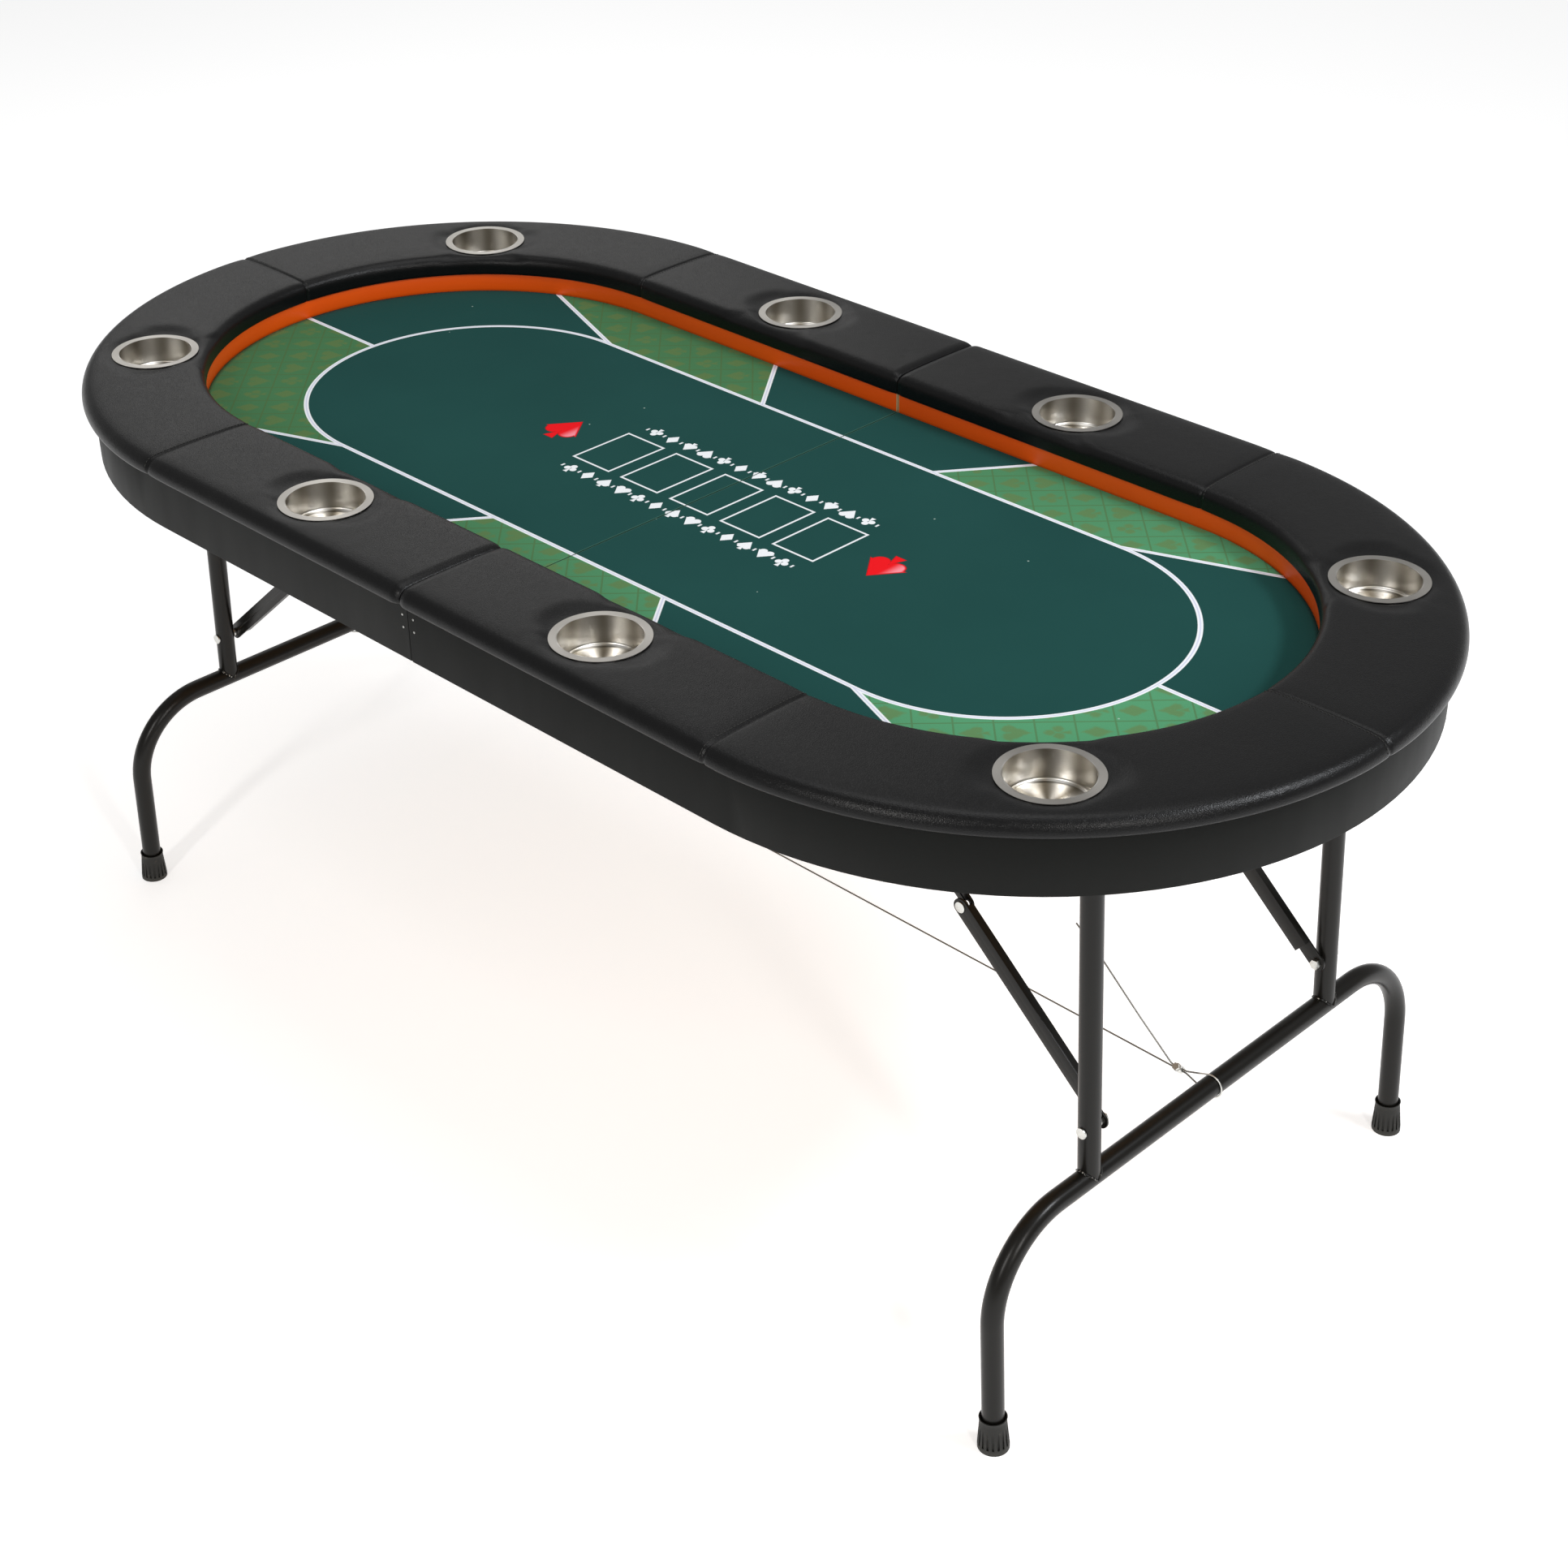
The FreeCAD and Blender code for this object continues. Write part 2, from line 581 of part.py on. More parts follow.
def foot_cap(side, hand):
    """A fluted rubber ferrule over the tube's end, cut level with the floor."""
    name = f"{side}_foot_{front_or_rear(side, hand)}"
    blank = doc.addObject("PartDesign::Body", f"{name}_blank")
    place = leg_place() * Placement(Vector(0, hand * size("foot_y"), -floor_reach()), Rotation())
    blank.Placement = side_turn(side) * place
    section = new_sketch(blank, "section", "XZ_Plane")
    tube = "sizes.tube_radius + sizes.weld_gap"
    polygon(section, [("0", "-sizes.foot_under"), (link("foot_bottom_radius"), "-sizes.foot_under"),
                      (link("foot_bottom_radius"), link("foot_base")),
                      (link("foot_top_radius"), "sizes.foot_tall - sizes.foot_neck"),
                      ("sizes.foot_top_radius + sizes.foot_lip", link("foot_tall")),
                      ("sizes.foot_top_radius - sizes.foot_mouth_in", link("foot_tall")),
                      (tube, "sizes.foot_tall - sizes.foot_mouth"),
                      (tube, link("foot_pad")), ("0", link("foot_pad"))])
    revolve(blank, section, 360.0)
    doc.recompute()
    groove = new_sketch(blank, "flute", "XZ_Plane", "sizes.foot_bottom_radius + sizes.flute_start")
    rectangle(groove, "-sizes.flute_width / 2", "sizes.flute_width / 2",
              link("flute_low"), "sizes.foot_tall - sizes.flute_top")
    first = pocket(blank, groove, link("flute_cut"))
    ring = blank.newObject("PartDesign::PolarPattern", f"{blank.Name}_flutes")
    ring.Originals = [first]
    ring.Axis = (section, ["V_Axis"])
    ring.Angle = 360.0
    ring.setExpression("Occurrences", link("foot_flutes"))
    blank.Tip = ring
    floor = doc.addObject("Part::Box", f"{name}_floor")
    for side_name in ("Length", "Width", "Height"):
        floor.setExpression(side_name, link("foot_block"))
    centre = blank.Placement.Base
    block = size("foot_block")
    floor.Placement = Placement(Vector(centre.x - block / 2, centre.y - block / 2, -block), Rotation())
    cap = doc.addObject("Part::Cut", name)
    cap.Base = blank
    cap.Tool = floor
    keep(cap, name)


# ---------------------------------------------------------------- braces

def brace_frames():
    """The rest places of the two links of a brace, which fold flat beside the folded leg."""
    splay = math.radians(size("leg_splay"))
    pivot = Vector(size("leg_pivot_x"), 0, size("leg_pivot_z"))
    low = pivot + Vector(math.sin(splay), 0, -math.cos(splay)) * size("brace_low")
    anchor = Vector(size("anchor_x"), 0, size("leg_pivot_z"))
    folded_low = pivot - Vector(size("brace_low"), 0, 0)
    straight = (anchor - low).Length
    overlap = (anchor - folded_low).Length
    lower_length = (straight - overlap) / 2
    upper_length = (straight + overlap) / 2
    rise = math.degrees(math.atan2(anchor.z - low.z, low.x - anchor.x))
    lower = Placement(low, Rotation(Vector(0, 1, 0), rise - 180))
    upper = Placement(anchor, Rotation(Vector(0, 1, 0), rise))
    return lower, upper, lower_length, upper_length


def store_brace_lengths():
    """Cells worked out from the driving sizes, so that the links' sketches can follow them."""
    lower, upper, lower_length, upper_length = brace_frames()
    for row, (alias, value) in enumerate((("lower_length", lower_length), ("upper_length", upper_length)),
                                         start=len(SIZES) + 2):
        sheet.set(f"A{row}", alias)
        sheet.set(f"B{row}", repr(value))
        sheet.setAlias(f"B{row}", alias)
    doc.recompute()
    return lower, upper


def across(hand, alias):
    """Offset of a sketch on the XZ plane, whose normal is -Y, to |y| of the given size."""
    return f"{-hand} * {alias}"


def lower_brace(side, hand, frame):
    """A tube with flattened ends: a plate along its whole length and a box section in the middle."""
    body = new_body(f"{side}_lower_brace_{front_or_rear(side, hand)}", side_turn(side) * frame)
    inward = hand < 0
    plate = new_sketch(body, "plate", "XZ_Plane", across(hand, link("brace_near")))
    strip(plate, "0", link("lower_length"), link("brace_half"))
    for centre in ("0", link("lower_length")):
        circle(plate, centre, "0", "sizes.pin_radius + sizes.pin_gap")
    pad(body, plate, link("brace_plate"), reverse=inward)
    tube = new_sketch(body, "tube", "XZ_Plane", across(hand, link("brace_near")))
    rectangle(tube, link("brace_tube_start"), "sizes.lower_length - sizes.brace_tube_end",
              "-sizes.brace_half", link("brace_half"))
    pad(body, tube, link("brace_depth"), reverse=inward)
    stop = new_sketch(body, "stop", "XZ_Plane", across(hand, link("brace_near")))
    rectangle(stop, "sizes.lower_length - sizes.brace_tube_end - sizes.cut_over",
              "sizes.lower_length - sizes.brace_tube_end + sizes.stop_length",
              "-sizes.brace_half", "sizes.stop_thick - sizes.brace_half")
    pad(body, stop, link("brace_depth"), reverse=inward)


def upper_brace(side, hand, frame):
    """A flat bar from the anchor on the board to the lower brace."""
    body = new_body(f"{side}_upper_brace_{front_or_rear(side, hand)}", side_turn(side) * frame)
    bar = new_sketch(body, "bar", "XZ_Plane", across(hand, link("upper_near")))
    strip(bar, "0", link("upper_length"), link("upper_half"))
    for centre in ("0", link("upper_length")):
        circle(bar, centre, "0", "sizes.pin_radius + sizes.pin_gap")
    pad(body, bar, link("upper_thick"), reverse=hand < 0)


def rod(start, end, radius, sides=0):
    """A round bar between two points, or a hexagonal one."""
    axis = end - start
    if sides:
        flat = Part.makePolygon([Vector(radius * math.cos(2 * math.pi * step / sides),
                                        radius * math.sin(2 * math.pi * step / sides), 0)
                                 for step in range(sides + 1)])
        bar = Part.Face(flat).extrude(Vector(0, 0, axis.Length))
        bar.Placement = Placement(start, Rotation(Vector(0, 0, 1), axis))
        return bar
    return Part.makeCylinder(radius, axis.Length, start, axis)


def group(label, solids, placement):
    """Identical small pieces that share one node, as separate solids."""
    thing = doc.addObject("Part::Feature", label)
    thing.Shape = Part.makeCompound(solids) if len(solids) > 1 else solids[0]
    thing.Placement = placement
    return keep(thing, label)


def brace_bolts(side):
    """The bolts through the uprights that carry the lower braces, each with its spacer and nut."""
    solids = []
    outer = size("upright_y") + size("tube_radius")
    inner = size("upright_y") - size("tube_radius")
    seat = size("brace_near") - size("brace_plate") - size("cushion_gap")
    low = -size("brace_low")
    for hand in (-1, 1):
        def at(distance):
            return Vector(0, hand * distance, low)
        shank = rod(at(outer + size("pin_head_tall")), at(seat - size("nut_tall")), size("pin_radius"))
        head = rod(at(outer + size("pin_head_tall")), at(outer + size("weld_gap")), size("pin_head"))
        spacer = rod(at(inner - 2 * size("weld_gap")), at(size("brace_near") + size("weld_gap")),
                     size("spacer_radius"))
        nut = rod(at(seat), at(seat - size("nut_tall")), size("pin_head"), sides=6)
        solids.append(shank.fuse([head, spacer, nut]).removeSplitter())
    group(f"{side}_brace_bolts", solids, side_turn(side) * leg_place())


def joint_rivet(side, hand, frame):
    """The rivet at the brace's middle joint: it is fast in the lower brace."""
    near = size("brace_near")
    far = near - size("brace_plate")

    def at(distance):
        return Vector(size("lower_length"), hand * distance, 0)
    shank = rod(at(near), at(far), size("pin_radius"))
    head = rod(at(near + size("rivet_head_tall")), at(near), size("pin_head"))
    tail = rod(at(far), at(far - size("rivet_tail_long")), size("rivet_tail"))
    solid = shank.fuse([head, tail]).removeSplitter()
    group(f"{side}_joint_rivet_{front_or_rear(side, hand)}", [solid], side_turn(side) * frame)


def angle_bracket(centre_x, near, far, flange, half, hand, stud=None, hole=None):
    """An ear hanging from the board at |y| near to far, and a flange along the board towards flange."""
    top = size("board_bottom")
    thick = size("bracket_thick")
    axis = Vector(centre_x, 0, size("leg_pivot_z"))
    low, high = sorted((hand * near, hand * far))
    ear = Part.makeBox(2 * half, high - low, top - axis.z, Vector(centre_x - half, low, axis.z))
    ear = ear.fuse(Part.makeCylinder(half, high - low, Vector(axis.x, low, axis.z), Vector(0, 1, 0)))
    start, end = sorted((hand * far, hand * flange))
    wide = half + size("bracket_margin")
    over = size("cut_over")
    flat = Part.makeBox(2 * wide, end - start, thick, Vector(centre_x - wide, start, top - thick))
    solid = ear.fuse(flat)
    if hole:
        solid = solid.cut(Part.makeCylinder(hole, high - low + 2 * over, Vector(axis.x, low - over, axis.z),
                                            Vector(0, 1, 0)))
    middle = (start + end) / 2
    for offset in (-half, half):
        screw = Part.makeCylinder(size("screw_hole"), thick + 2 * over,
                                  Vector(centre_x + offset, middle, top - thick - over))
        solid = solid.cut(screw)
    if stud:
        solid = solid.fuse(stud)
    places = [Vector(centre_x + offset, middle, top - thick) for offset in (-half, half)]
    return solid.removeSplitter(), places


def leg_brackets(side):
    solids, screws = [], []
    near = size("bracket_inner_y")
    far = near + size("bracket_thick")
    for hand in (-1, 1):
        solid, places = angle_bracket(size("leg_pivot_x"), near, far, far + size("bracket_flange"),
                                      size("bracket_radius"), hand,
                                      hole=size("pivot_bar_radius") + size("running_gap"))
        solids.append(solid)
        screws += places
    group(f"{side}_leg_brackets", solids, side_turn(side))
    return screws


def brace_anchors(side):
    """Ears under the board, each with the headed stud that the upper brace turns on."""
    solids, screws = [], []
    near = size("upper_near") - size("upper_thick") - size("cushion_gap")
    far = near - size("anchor_thick")
    outer = size("upper_near") + size("cushion_gap")
    for hand in (-1, 1):
        def at(distance):
            return Vector(size("anchor_x"), hand * distance, size("leg_pivot_z"))
        stud = rod(at(near), at(outer + size("pin_head_tall")), size("pin_radius"))
        head = rod(at(outer), at(outer + size("pin_head_tall")), size("stud_head"))
        solid, places = angle_bracket(size("anchor_x"), near, far, far - size("anchor_flange"),
                                      size("anchor_half"), hand, stud=stud.fuse(head))
        solids.append(solid)
        screws += places
    group(f"{side}_brace_anchors", solids, side_turn(side))
    return screws


# ---------------------------------------------------------------- hinges and screws

def knuckle_spans(side):
    """The stretches of a hinge's barrel that belong to one leaf, in the half's own frame."""
    length = size("hinge_length")
    step = length / sum(len(owned) for owned in KNUCKLES.values())
    spans = []
    for hand in (-1, 1):
        for index in KNUCKLES[side]:
            start = size("hinge_place") - length / 2 + index * step + size("knuckle_gap") / 2
            end = start + step - size("knuckle_gap")
            spans.append((hand, *sorted((hand * start, hand * end))))
    return spans


def hinge_leaves(side):
    """Two butt-hinge leaves screwed under the centre batten, with their knuckles on the fold axis."""
    top = size("skirt_bottom")
    thick = size("leaf_thick")
    axis_z = top - size("hinge_drop")
    half = size("hinge_length") / 2
    over = size("cut_over")
    solids, screws = [], []
    for hand in (-1, 1):
        middle = hand * size("hinge_place")
        leaf = Part.makeBox(size("leaf_reach") - size("leaf_notch"), 2 * half, thick,
                            Vector(size("leaf_notch"), middle - half, top - thick))
        for owner, start, end in knuckle_spans(side):
            if owner != hand:
                continue
            barrel = Part.makeCylinder(size("knuckle_radius"), end - start, Vector(0, start, axis_z),
                                       Vector(0, 1, 0))
            tongue = Part.makeBox(size("leaf_notch") + over, end - start, thick,
                                  Vector(0, start, top - thick))
            leaf = leaf.fuse([barrel, tongue])
        bore = Part.makeCylinder(size("hinge_pin") + size("running_gap") / 2, 2 * (half + over),
                                 Vector(0, middle - half - over, axis_z), Vector(0, 1, 0))
        leaf = leaf.cut(bore)
        for offset in (-size("hinge_screw"), size("hinge_screw")):
            place = Vector((size("leaf_notch") + size("leaf_reach")) / 2, middle + offset, top - thick)
            leaf = leaf.cut(Part.makeCylinder(size("screw_hole"), thick + 2 * over,
                                              place - Vector(0, 0, over)))
            screws.append(place)
        solids.append(leaf.removeSplitter())
    group(f"{side}_hinge_leaves", solids, side_turn(side))
    return screws


def hinge_pins():
    half = size("hinge_length") / 2
    axis_z = size("skirt_bottom") - size("hinge_drop")
    solids = [Part.makeCylinder(size("hinge_pin"), 2 * half,
                                Vector(0, hand * size("hinge_place") - half, axis_z), Vector(0, 1, 0))
              for hand in (-1, 1)]
    group("hinge_pins", solids, Placement())


def screws_under(side, places):
    """Pan-head wood screws: head under the plate, shank up through it into the wood."""
    solids = []
    for place in places:
        head = Part.makeCylinder(size("screw_head"), size("screw_head_tall"),
                                 place - Vector(0, 0, size("screw_head_tall") + size("weld_gap")))
        shank = Part.makeCylinder(size("screw_shank"), size("screw_long"),
                                  place - Vector(0, 0, size("screw_head_tall") / 2))
        solids.append(head.fuse(shank).removeSplitter())
    group(f"{side}_screws", solids, side_turn(side))


# ---------------------------------------------------------------- tie cable

def bar_centre():
    reach = size("leg_pivot_z") - size("bar_height")
    return Vector(size("leg_pivot_x") + reach * math.tan(math.radians(size("leg_splay"))), 0,
                  size("bar_height"))


def loop_corners(centre, start, end, radius, parts=3):
    """Corners of straight runs that wrap a circle from the tangent of start to the tangent of end."""
    def touch(point, turn):
        away = point - centre
        half = math.acos(radius / away.Length)
        return math.atan2(away.z, away.x) + turn * half
    first = touch(start, 1)
    last = touch(end, -1)
    while last < first:
        last += 2 * math.pi
    step = (last - first) / parts
    reach = radius / math.cos(step / 2)
    return [centre + Vector(math.cos(first + (index + 0.5) * step), 0,
                            math.sin(first + (index + 0.5) * step)) * reach
            for index in range(parts)]


def rounded_wire(points, radii):
    """Straight runs through points, each inner corner rounded by a tangent arc of its radius."""
    edges = []
    here = points[0]
    for before, corner, after, radius in zip(points, points[1:], points[2:], radii):
        arrive = (corner - before).normalize()
        leave = (after - corner).normalize()
        turn = arrive.getAngle(leave)
        cut = radius * math.tan(turn / 2)
        start = corner - arrive * cut
        end = corner + leave * cut
        bisector = (leave - arrive).normalize()
        middle = corner + bisector * (radius / math.cos(turn / 2) - radius)
        if (start - here).Length > 1e-6:
            edges.append(Part.LineSegment(here, start).toShape())
        edges.append(Part.Arc(start, middle, end).toShape())
        here = end
    edges.append(Part.LineSegment(here, points[-1]).toShape())
    return Part.Wire(edges)


def tie_cable():
    """One steel cable: looped and clipped round each crossbar, with a spare tail at the right clip."""
    centre = bar_centre()
    offset = Vector(0, 0, size("strand_offset"))
    clip = centre - Vector(size("clip_distance"), 0, 0)
    radius = size("cable_loop")
    throat = clip + Vector(size("clip_throat"), 0, 0)
    right_loop = loop_corners(centre, throat - offset, throat + offset, radius)
    tail = [clip + offset - Vector(size("clip_throat"), 0, 0)]
    tail += [clip + offset + Vector(x, 0, z) for x, z in CABLE_TAIL]
    left_loop = [Vector(-point.x, 0, point.z) for point in reversed(right_loop)]
    left_start = [Vector(size("cable_start") - clip.x, 0, clip.z + offset.z),
                  Vector(-throat.x, 0, clip.z + offset.z)]
    run = [Vector(-throat.x, 0, clip.z - offset.z), throat - offset]
    points = left_start + left_loop + run + right_loop + [throat + offset] + tail
    bend = size("cable_bend")
    wrap = [radius] * len(right_loop)
    radii = [bend, *wrap, bend, bend, *wrap, bend, size("tail_bend"), size("tail_curve"), size("tail_curve")]
    wire = rounded_wire(points, radii)
    first = wire.OrderedEdges[0]
    circle_face = Part.Wire(Part.makeCircle(size("cable_radius"), points[0],
                                            first.tangentAt(first.FirstParameter)))
    shell = wire.makePipeShell([circle_face], True, False)
    expected = math.pi * size("cable_radius") ** 2 * wire.Length
    print(f"tie cable: length {wire.Length:.1f}, volume {shell.Volume:.1f} of {expected:.1f}, "
          f"corner radii {radii}")
    if abs(shell.Volume - expected) > 0.01 * expected:
        raise RuntimeError("tie cable has the wrong volume")
    group("tie_cable", [shell], Placement())


def cable_clip(side):
    """A screw clip that pinches both strands: a round barrel with a hexagon nut on one end."""
    clip = bar_centre() - Vector(size("clip_distance"), 0, 0)
    half = size("clip_half")
    barrel = rod(clip - CLIP_TILT * half, clip + CLIP_TILT * half, size("clip_radius"))
    nut = rod(clip + CLIP_TILT * half, clip + CLIP_TILT * (half + size("clip_nut_tall")),
              size("clip_nut_radius"), sides=6)
    solid = barrel.fuse(nut)
    clear = size("cable_radius") + size("weld_gap")
    reach = 2 * size("clip_radius")
    below = size("strand_offset") + clear + size("clip_slot_below")
    above = size("strand_offset") + clear + size("clip_slot_above")
    slot = Part.makeBox(2 * reach, 2 * clear, below + above, clip - Vector(reach, clear, below))
    group(f"{side}_cable_clip", [solid.cut(slot).removeSplitter()], side_turn(side))


# ---------------------------------------------------------------- the whole table

lower_frame, upper_frame = store_brace_lengths()

for side in SIDES:
    flat_half(f"{side}_playfield_board", side, "board_radius", "board_bottom", "board_top")
    flat_half(f"{side}_felt", side, "felt_radius", "board_top", "felt_top")
    band(f"{side}_inner_wall", side, "wall_inner", "wall_outer", "board_top", "skirt_top")
    band(f"{side}_skirt", side, "skirt_inner", "skirt_outer", "skirt_bottom", "skirt_top")
    rail_base(side)
    rail_cushion(side)
    centre_batten(side)
    for hand in (-1, 1):
        for place, along, across_y in CUP_PLACES:
            cup_holder(f"{side}_{place}_cup_{front_or_rear(side, hand)}", side, along, across_y, hand)
        upright(side, hand)
        foot_cap(side, hand)
        lower_brace(side, hand, lower_frame)
        upper_brace(side, hand, upper_frame)
        joint_rivet(side, hand, lower_frame)
    crossbar(side)
    pivot_bar(side)
    brace_bolts(side)
    places = leg_brackets(side) + brace_anchors(side) + hinge_leaves(side)
    screws_under(side, places)
    cable_clip(side)
hinge_pins()
tie_cable()

doc.recompute()
for thing in doc.Objects:
    if "Invalid" in thing.State or "Error" in thing.State:
        raise RuntimeError(f"{thing.Name} failed: {thing.State}")
for node in nodes:
    if node.Shape.isNull() or not node.Shape.isValid():
        raise RuntimeError(f"{node.Label} has a bad shape")

os.makedirs("parts", exist_ok=True)
for node in nodes:
    node.Shape.exportStep(f"parts/{node.Label}.step")
print(f"{len(nodes)} nodes written")
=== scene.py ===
import math

import bmesh
import bpy
import numpy as np
from mathutils import Matrix, Vector, noise


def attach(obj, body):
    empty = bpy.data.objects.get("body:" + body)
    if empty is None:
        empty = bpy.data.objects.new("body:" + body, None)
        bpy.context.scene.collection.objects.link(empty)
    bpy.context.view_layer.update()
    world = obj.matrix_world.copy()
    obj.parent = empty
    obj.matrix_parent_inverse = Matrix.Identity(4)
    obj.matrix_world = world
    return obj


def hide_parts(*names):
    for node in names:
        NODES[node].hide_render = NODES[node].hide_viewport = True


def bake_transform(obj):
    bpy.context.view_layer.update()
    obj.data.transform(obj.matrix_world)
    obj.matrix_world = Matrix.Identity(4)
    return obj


# Folding oval poker table.  Everything is in metres in the row frame: +X to the right half, +Z up, the
# origin on the floor under the middle.  Soft pieces and small trim are built here, on the CAD's bodies.

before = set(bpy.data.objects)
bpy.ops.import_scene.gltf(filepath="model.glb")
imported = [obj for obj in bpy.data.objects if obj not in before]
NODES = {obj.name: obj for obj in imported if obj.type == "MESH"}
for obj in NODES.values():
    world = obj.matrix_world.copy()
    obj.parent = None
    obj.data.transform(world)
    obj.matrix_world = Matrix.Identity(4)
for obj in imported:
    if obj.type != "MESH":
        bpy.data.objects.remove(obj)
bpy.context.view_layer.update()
SIDES = {"right": 1, "left": -1}
MM = 0.001

ARC = 457.5 * MM                  # x of the centre of each half circle
GAP = 0.4 * MM                    # half the gap at the split
SIDE_CUP = (227.0 * MM, 375.0 * MM)       # centres of the cup holders
END_CUP = (720.0 * MM, 265.5 * MM)
SMOOTH_ANGLE = math.radians(34.0)         # edges sharper than this stay crisp
WELD_DISTANCE = 0.02 * MM


# ---------------------------------------------------------------- node graphs

class Num:
    """A number that varies over a surface.  Arithmetic on it adds math nodes to its graph."""

    def __init__(self, graph, socket):
        self.graph, self.socket = graph, socket

    def op(self, kind, other=None, third=None):
        return self.graph.math(kind, self, other, third)

    def __add__(self, other):
        return self.op("ADD", other)

    def __radd__(self, other):
        return self.op("ADD", other)

    def __sub__(self, other):
        return self.op("SUBTRACT", other)

    def __rsub__(self, other):
        return self.graph.math("SUBTRACT", other, self)

    def __mul__(self, other):
        return self.op("MULTIPLY", other)

    def __truediv__(self, other):
        return self.op("DIVIDE", other)

    def __neg__(self):
        return self.op("MULTIPLY", -1.0)

    def __abs__(self):
        return self.op("ABSOLUTE")

    def low(self, other):
        return self.op("MINIMUM", other)

    def high(self, other):
        return self.op("MAXIMUM", other)

    def floor(self):
        return self.op("FLOOR")

    def above(self, other):
        return self.op("GREATER_THAN", other)


class Graph:
    """The nodes of one material, with a Principled shader at the end."""

    def __init__(self, name, **sockets):
        self.material = bpy.data.materials.new(name)
        self.material.use_nodes = True
        self.tree = self.material.node_tree
        self.shader = self.tree.nodes["Principled BSDF"]
        for socket, value in sockets.items():
            self.shader.inputs[SOCKETS[socket]].default_value = value
        self.place = self.node("ShaderNodeTexCoord").outputs["Object"]

    def node(self, kind, **settings):
        made = self.tree.nodes.new(kind)
        for key, value in settings.items():
            setattr(made, key, value)
        return made

    def feed(self, socket, value):
        if isinstance(value, Num):
            self.tree.links.new(value.socket, socket)
        elif isinstance(value, bpy.types.NodeSocket):
            self.tree.links.new(value, socket)
        else:
            socket.default_value = value

    def math(self, kind, first, second=None, third=None):
        made = self.node("ShaderNodeMath", operation=kind)
        for socket, value in zip(made.inputs, (first, second, third)):
            if value is not None:
                self.feed(socket, value)
        return Num(self, made.outputs[0])

    def axes(self):
        parts = self.node("ShaderNodeSeparateXYZ")
        self.feed(parts.inputs[0], self.place)
        return [Num(self, out) for out in parts.outputs]

    def vector(self, x, y, z=0.0):
        made = self.node("ShaderNodeCombineXYZ")
        for socket, value in zip(made.inputs, (x, y, z)):
            self.feed(socket, value)
        return made.outputs[0]

    def noise(self, scale, detail=2.0, rough=0.5, at=None, stretch=None):
        made = self.node("ShaderNodeTexNoise")
        at = at or self.place
        if stretch:
            mapping = self.node("ShaderNodeMapping")
            mapping.inputs["Scale"].default_value = stretch
            self.feed(mapping.inputs["Vector"], at)
            at = mapping.outputs[0]
        self.feed(made.inputs["Vector"], at)
        made.inputs["Scale"].default_value = scale
        made.inputs["Detail"].default_value = detail
        made.inputs["Roughness"].default_value = rough
        return Num(self, made.outputs["Fac"])

    def cells(self, scale, feature="F1"):
        made = self.node("ShaderNodeTexVoronoi", feature=feature)
        self.feed(made.inputs["Vector"], self.place)
        made.inputs["Scale"].default_value = scale
        return Num(self, made.outputs["Distance"])

    def step(self, value, start, end):
        """0 before start and 1 after end, smoothly."""
        made = self.node("ShaderNodeMapRange", interpolation_type="SMOOTHSTEP")
        self.feed(made.inputs["Value"], value)
        made.inputs["From Min"].default_value = min(start, end)
        made.inputs["From Max"].default_value = max(start, end)
        made.inputs["To Min"].default_value = 0.0 if start < end else 1.0
        made.inputs["To Max"].default_value = 1.0 if start < end else 0.0
        return Num(self, made.outputs["Result"])

    def mix(self, amount, first, second):
        made = self.node("ShaderNodeMix", data_type="RGBA")
        self.feed(made.inputs["Factor"], amount)
        for socket, value in ((made.inputs[6], first), (made.inputs[7], second)):
            self.feed(socket, value if isinstance(value, bpy.types.NodeSocket) else (*value, 1.0))
        return made.outputs[2]

    def colour(self, value):
        self.feed(self.shader.inputs["Base Color"],
                  value if isinstance(value, bpy.types.NodeSocket) else (*value, 1.0))

    def rough(self, value):
        self.feed(self.shader.inputs["Roughness"], value)

    def bump(self, height, distance, strength):
        """height from 0 to 1 stands that distance proud.  Later calls add finer relief on top."""
        made = self.node("ShaderNodeBump")
        self.feed(made.inputs["Height"], height)
        made.inputs["Distance"].default_value = distance
        made.inputs["Strength"].default_value = strength
        if self.shader.inputs["Normal"].links:
            self.feed(made.inputs["Normal"], self.shader.inputs["Normal"].links[0].from_socket)
        self.feed(self.shader.inputs["Normal"], made.outputs[0])


SOCKETS = {"specular": "Specular IOR Level", "sheen": "Sheen Weight", "sheen_rough": "Sheen Roughness",
           "coat": "Coat Weight", "coat_rough": "Coat Roughness", "metal": "Metallic",
           "anisotropy": "Anisotropic"}


def linear(red, green, blue):
    """A display colour out of 255 as the linear colour that the shader takes."""
    return tuple((v / 255 / 12.92) if v / 255 <= 0.04045 else ((v / 255 + 0.055) / 1.055) ** 2.4
                 for v in (red, green, blue))


def length_of(g, x, y):
    return g.math("SQRT", x * x + y * y)


# ---------------------------------------------------------------- materials

def leatherette():
    g = Graph("rail_leatherette", specular=0.24)
    warp = g.noise(160.0, 2.0)
    pebble = g.cells(760.0)
    crease = g.cells(520.0, "DISTANCE_TO_EDGE")
    broad = g.noise(7.0, 3.0)
    soft = g.noise(38.0, 3.0)
    shade = g.mix(broad, linear(8, 8, 9), linear(13, 13, 13))
    worn = g.step(g.noise(22.0, 5.0, 0.6), 0.60, 0.78) * 0.35
    g.colour(g.mix(worn, shade, linear(27, 27, 26)))
    g.rough(0.25 + warp * 0.08 + broad * 0.06)
    g.bump(soft, 0.0007, 0.35)
    g.bump(g.step(crease, 0.0, 0.35), 0.00016, 0.55)
    g.bump(pebble, 0.00010, 0.5)
    return g.material


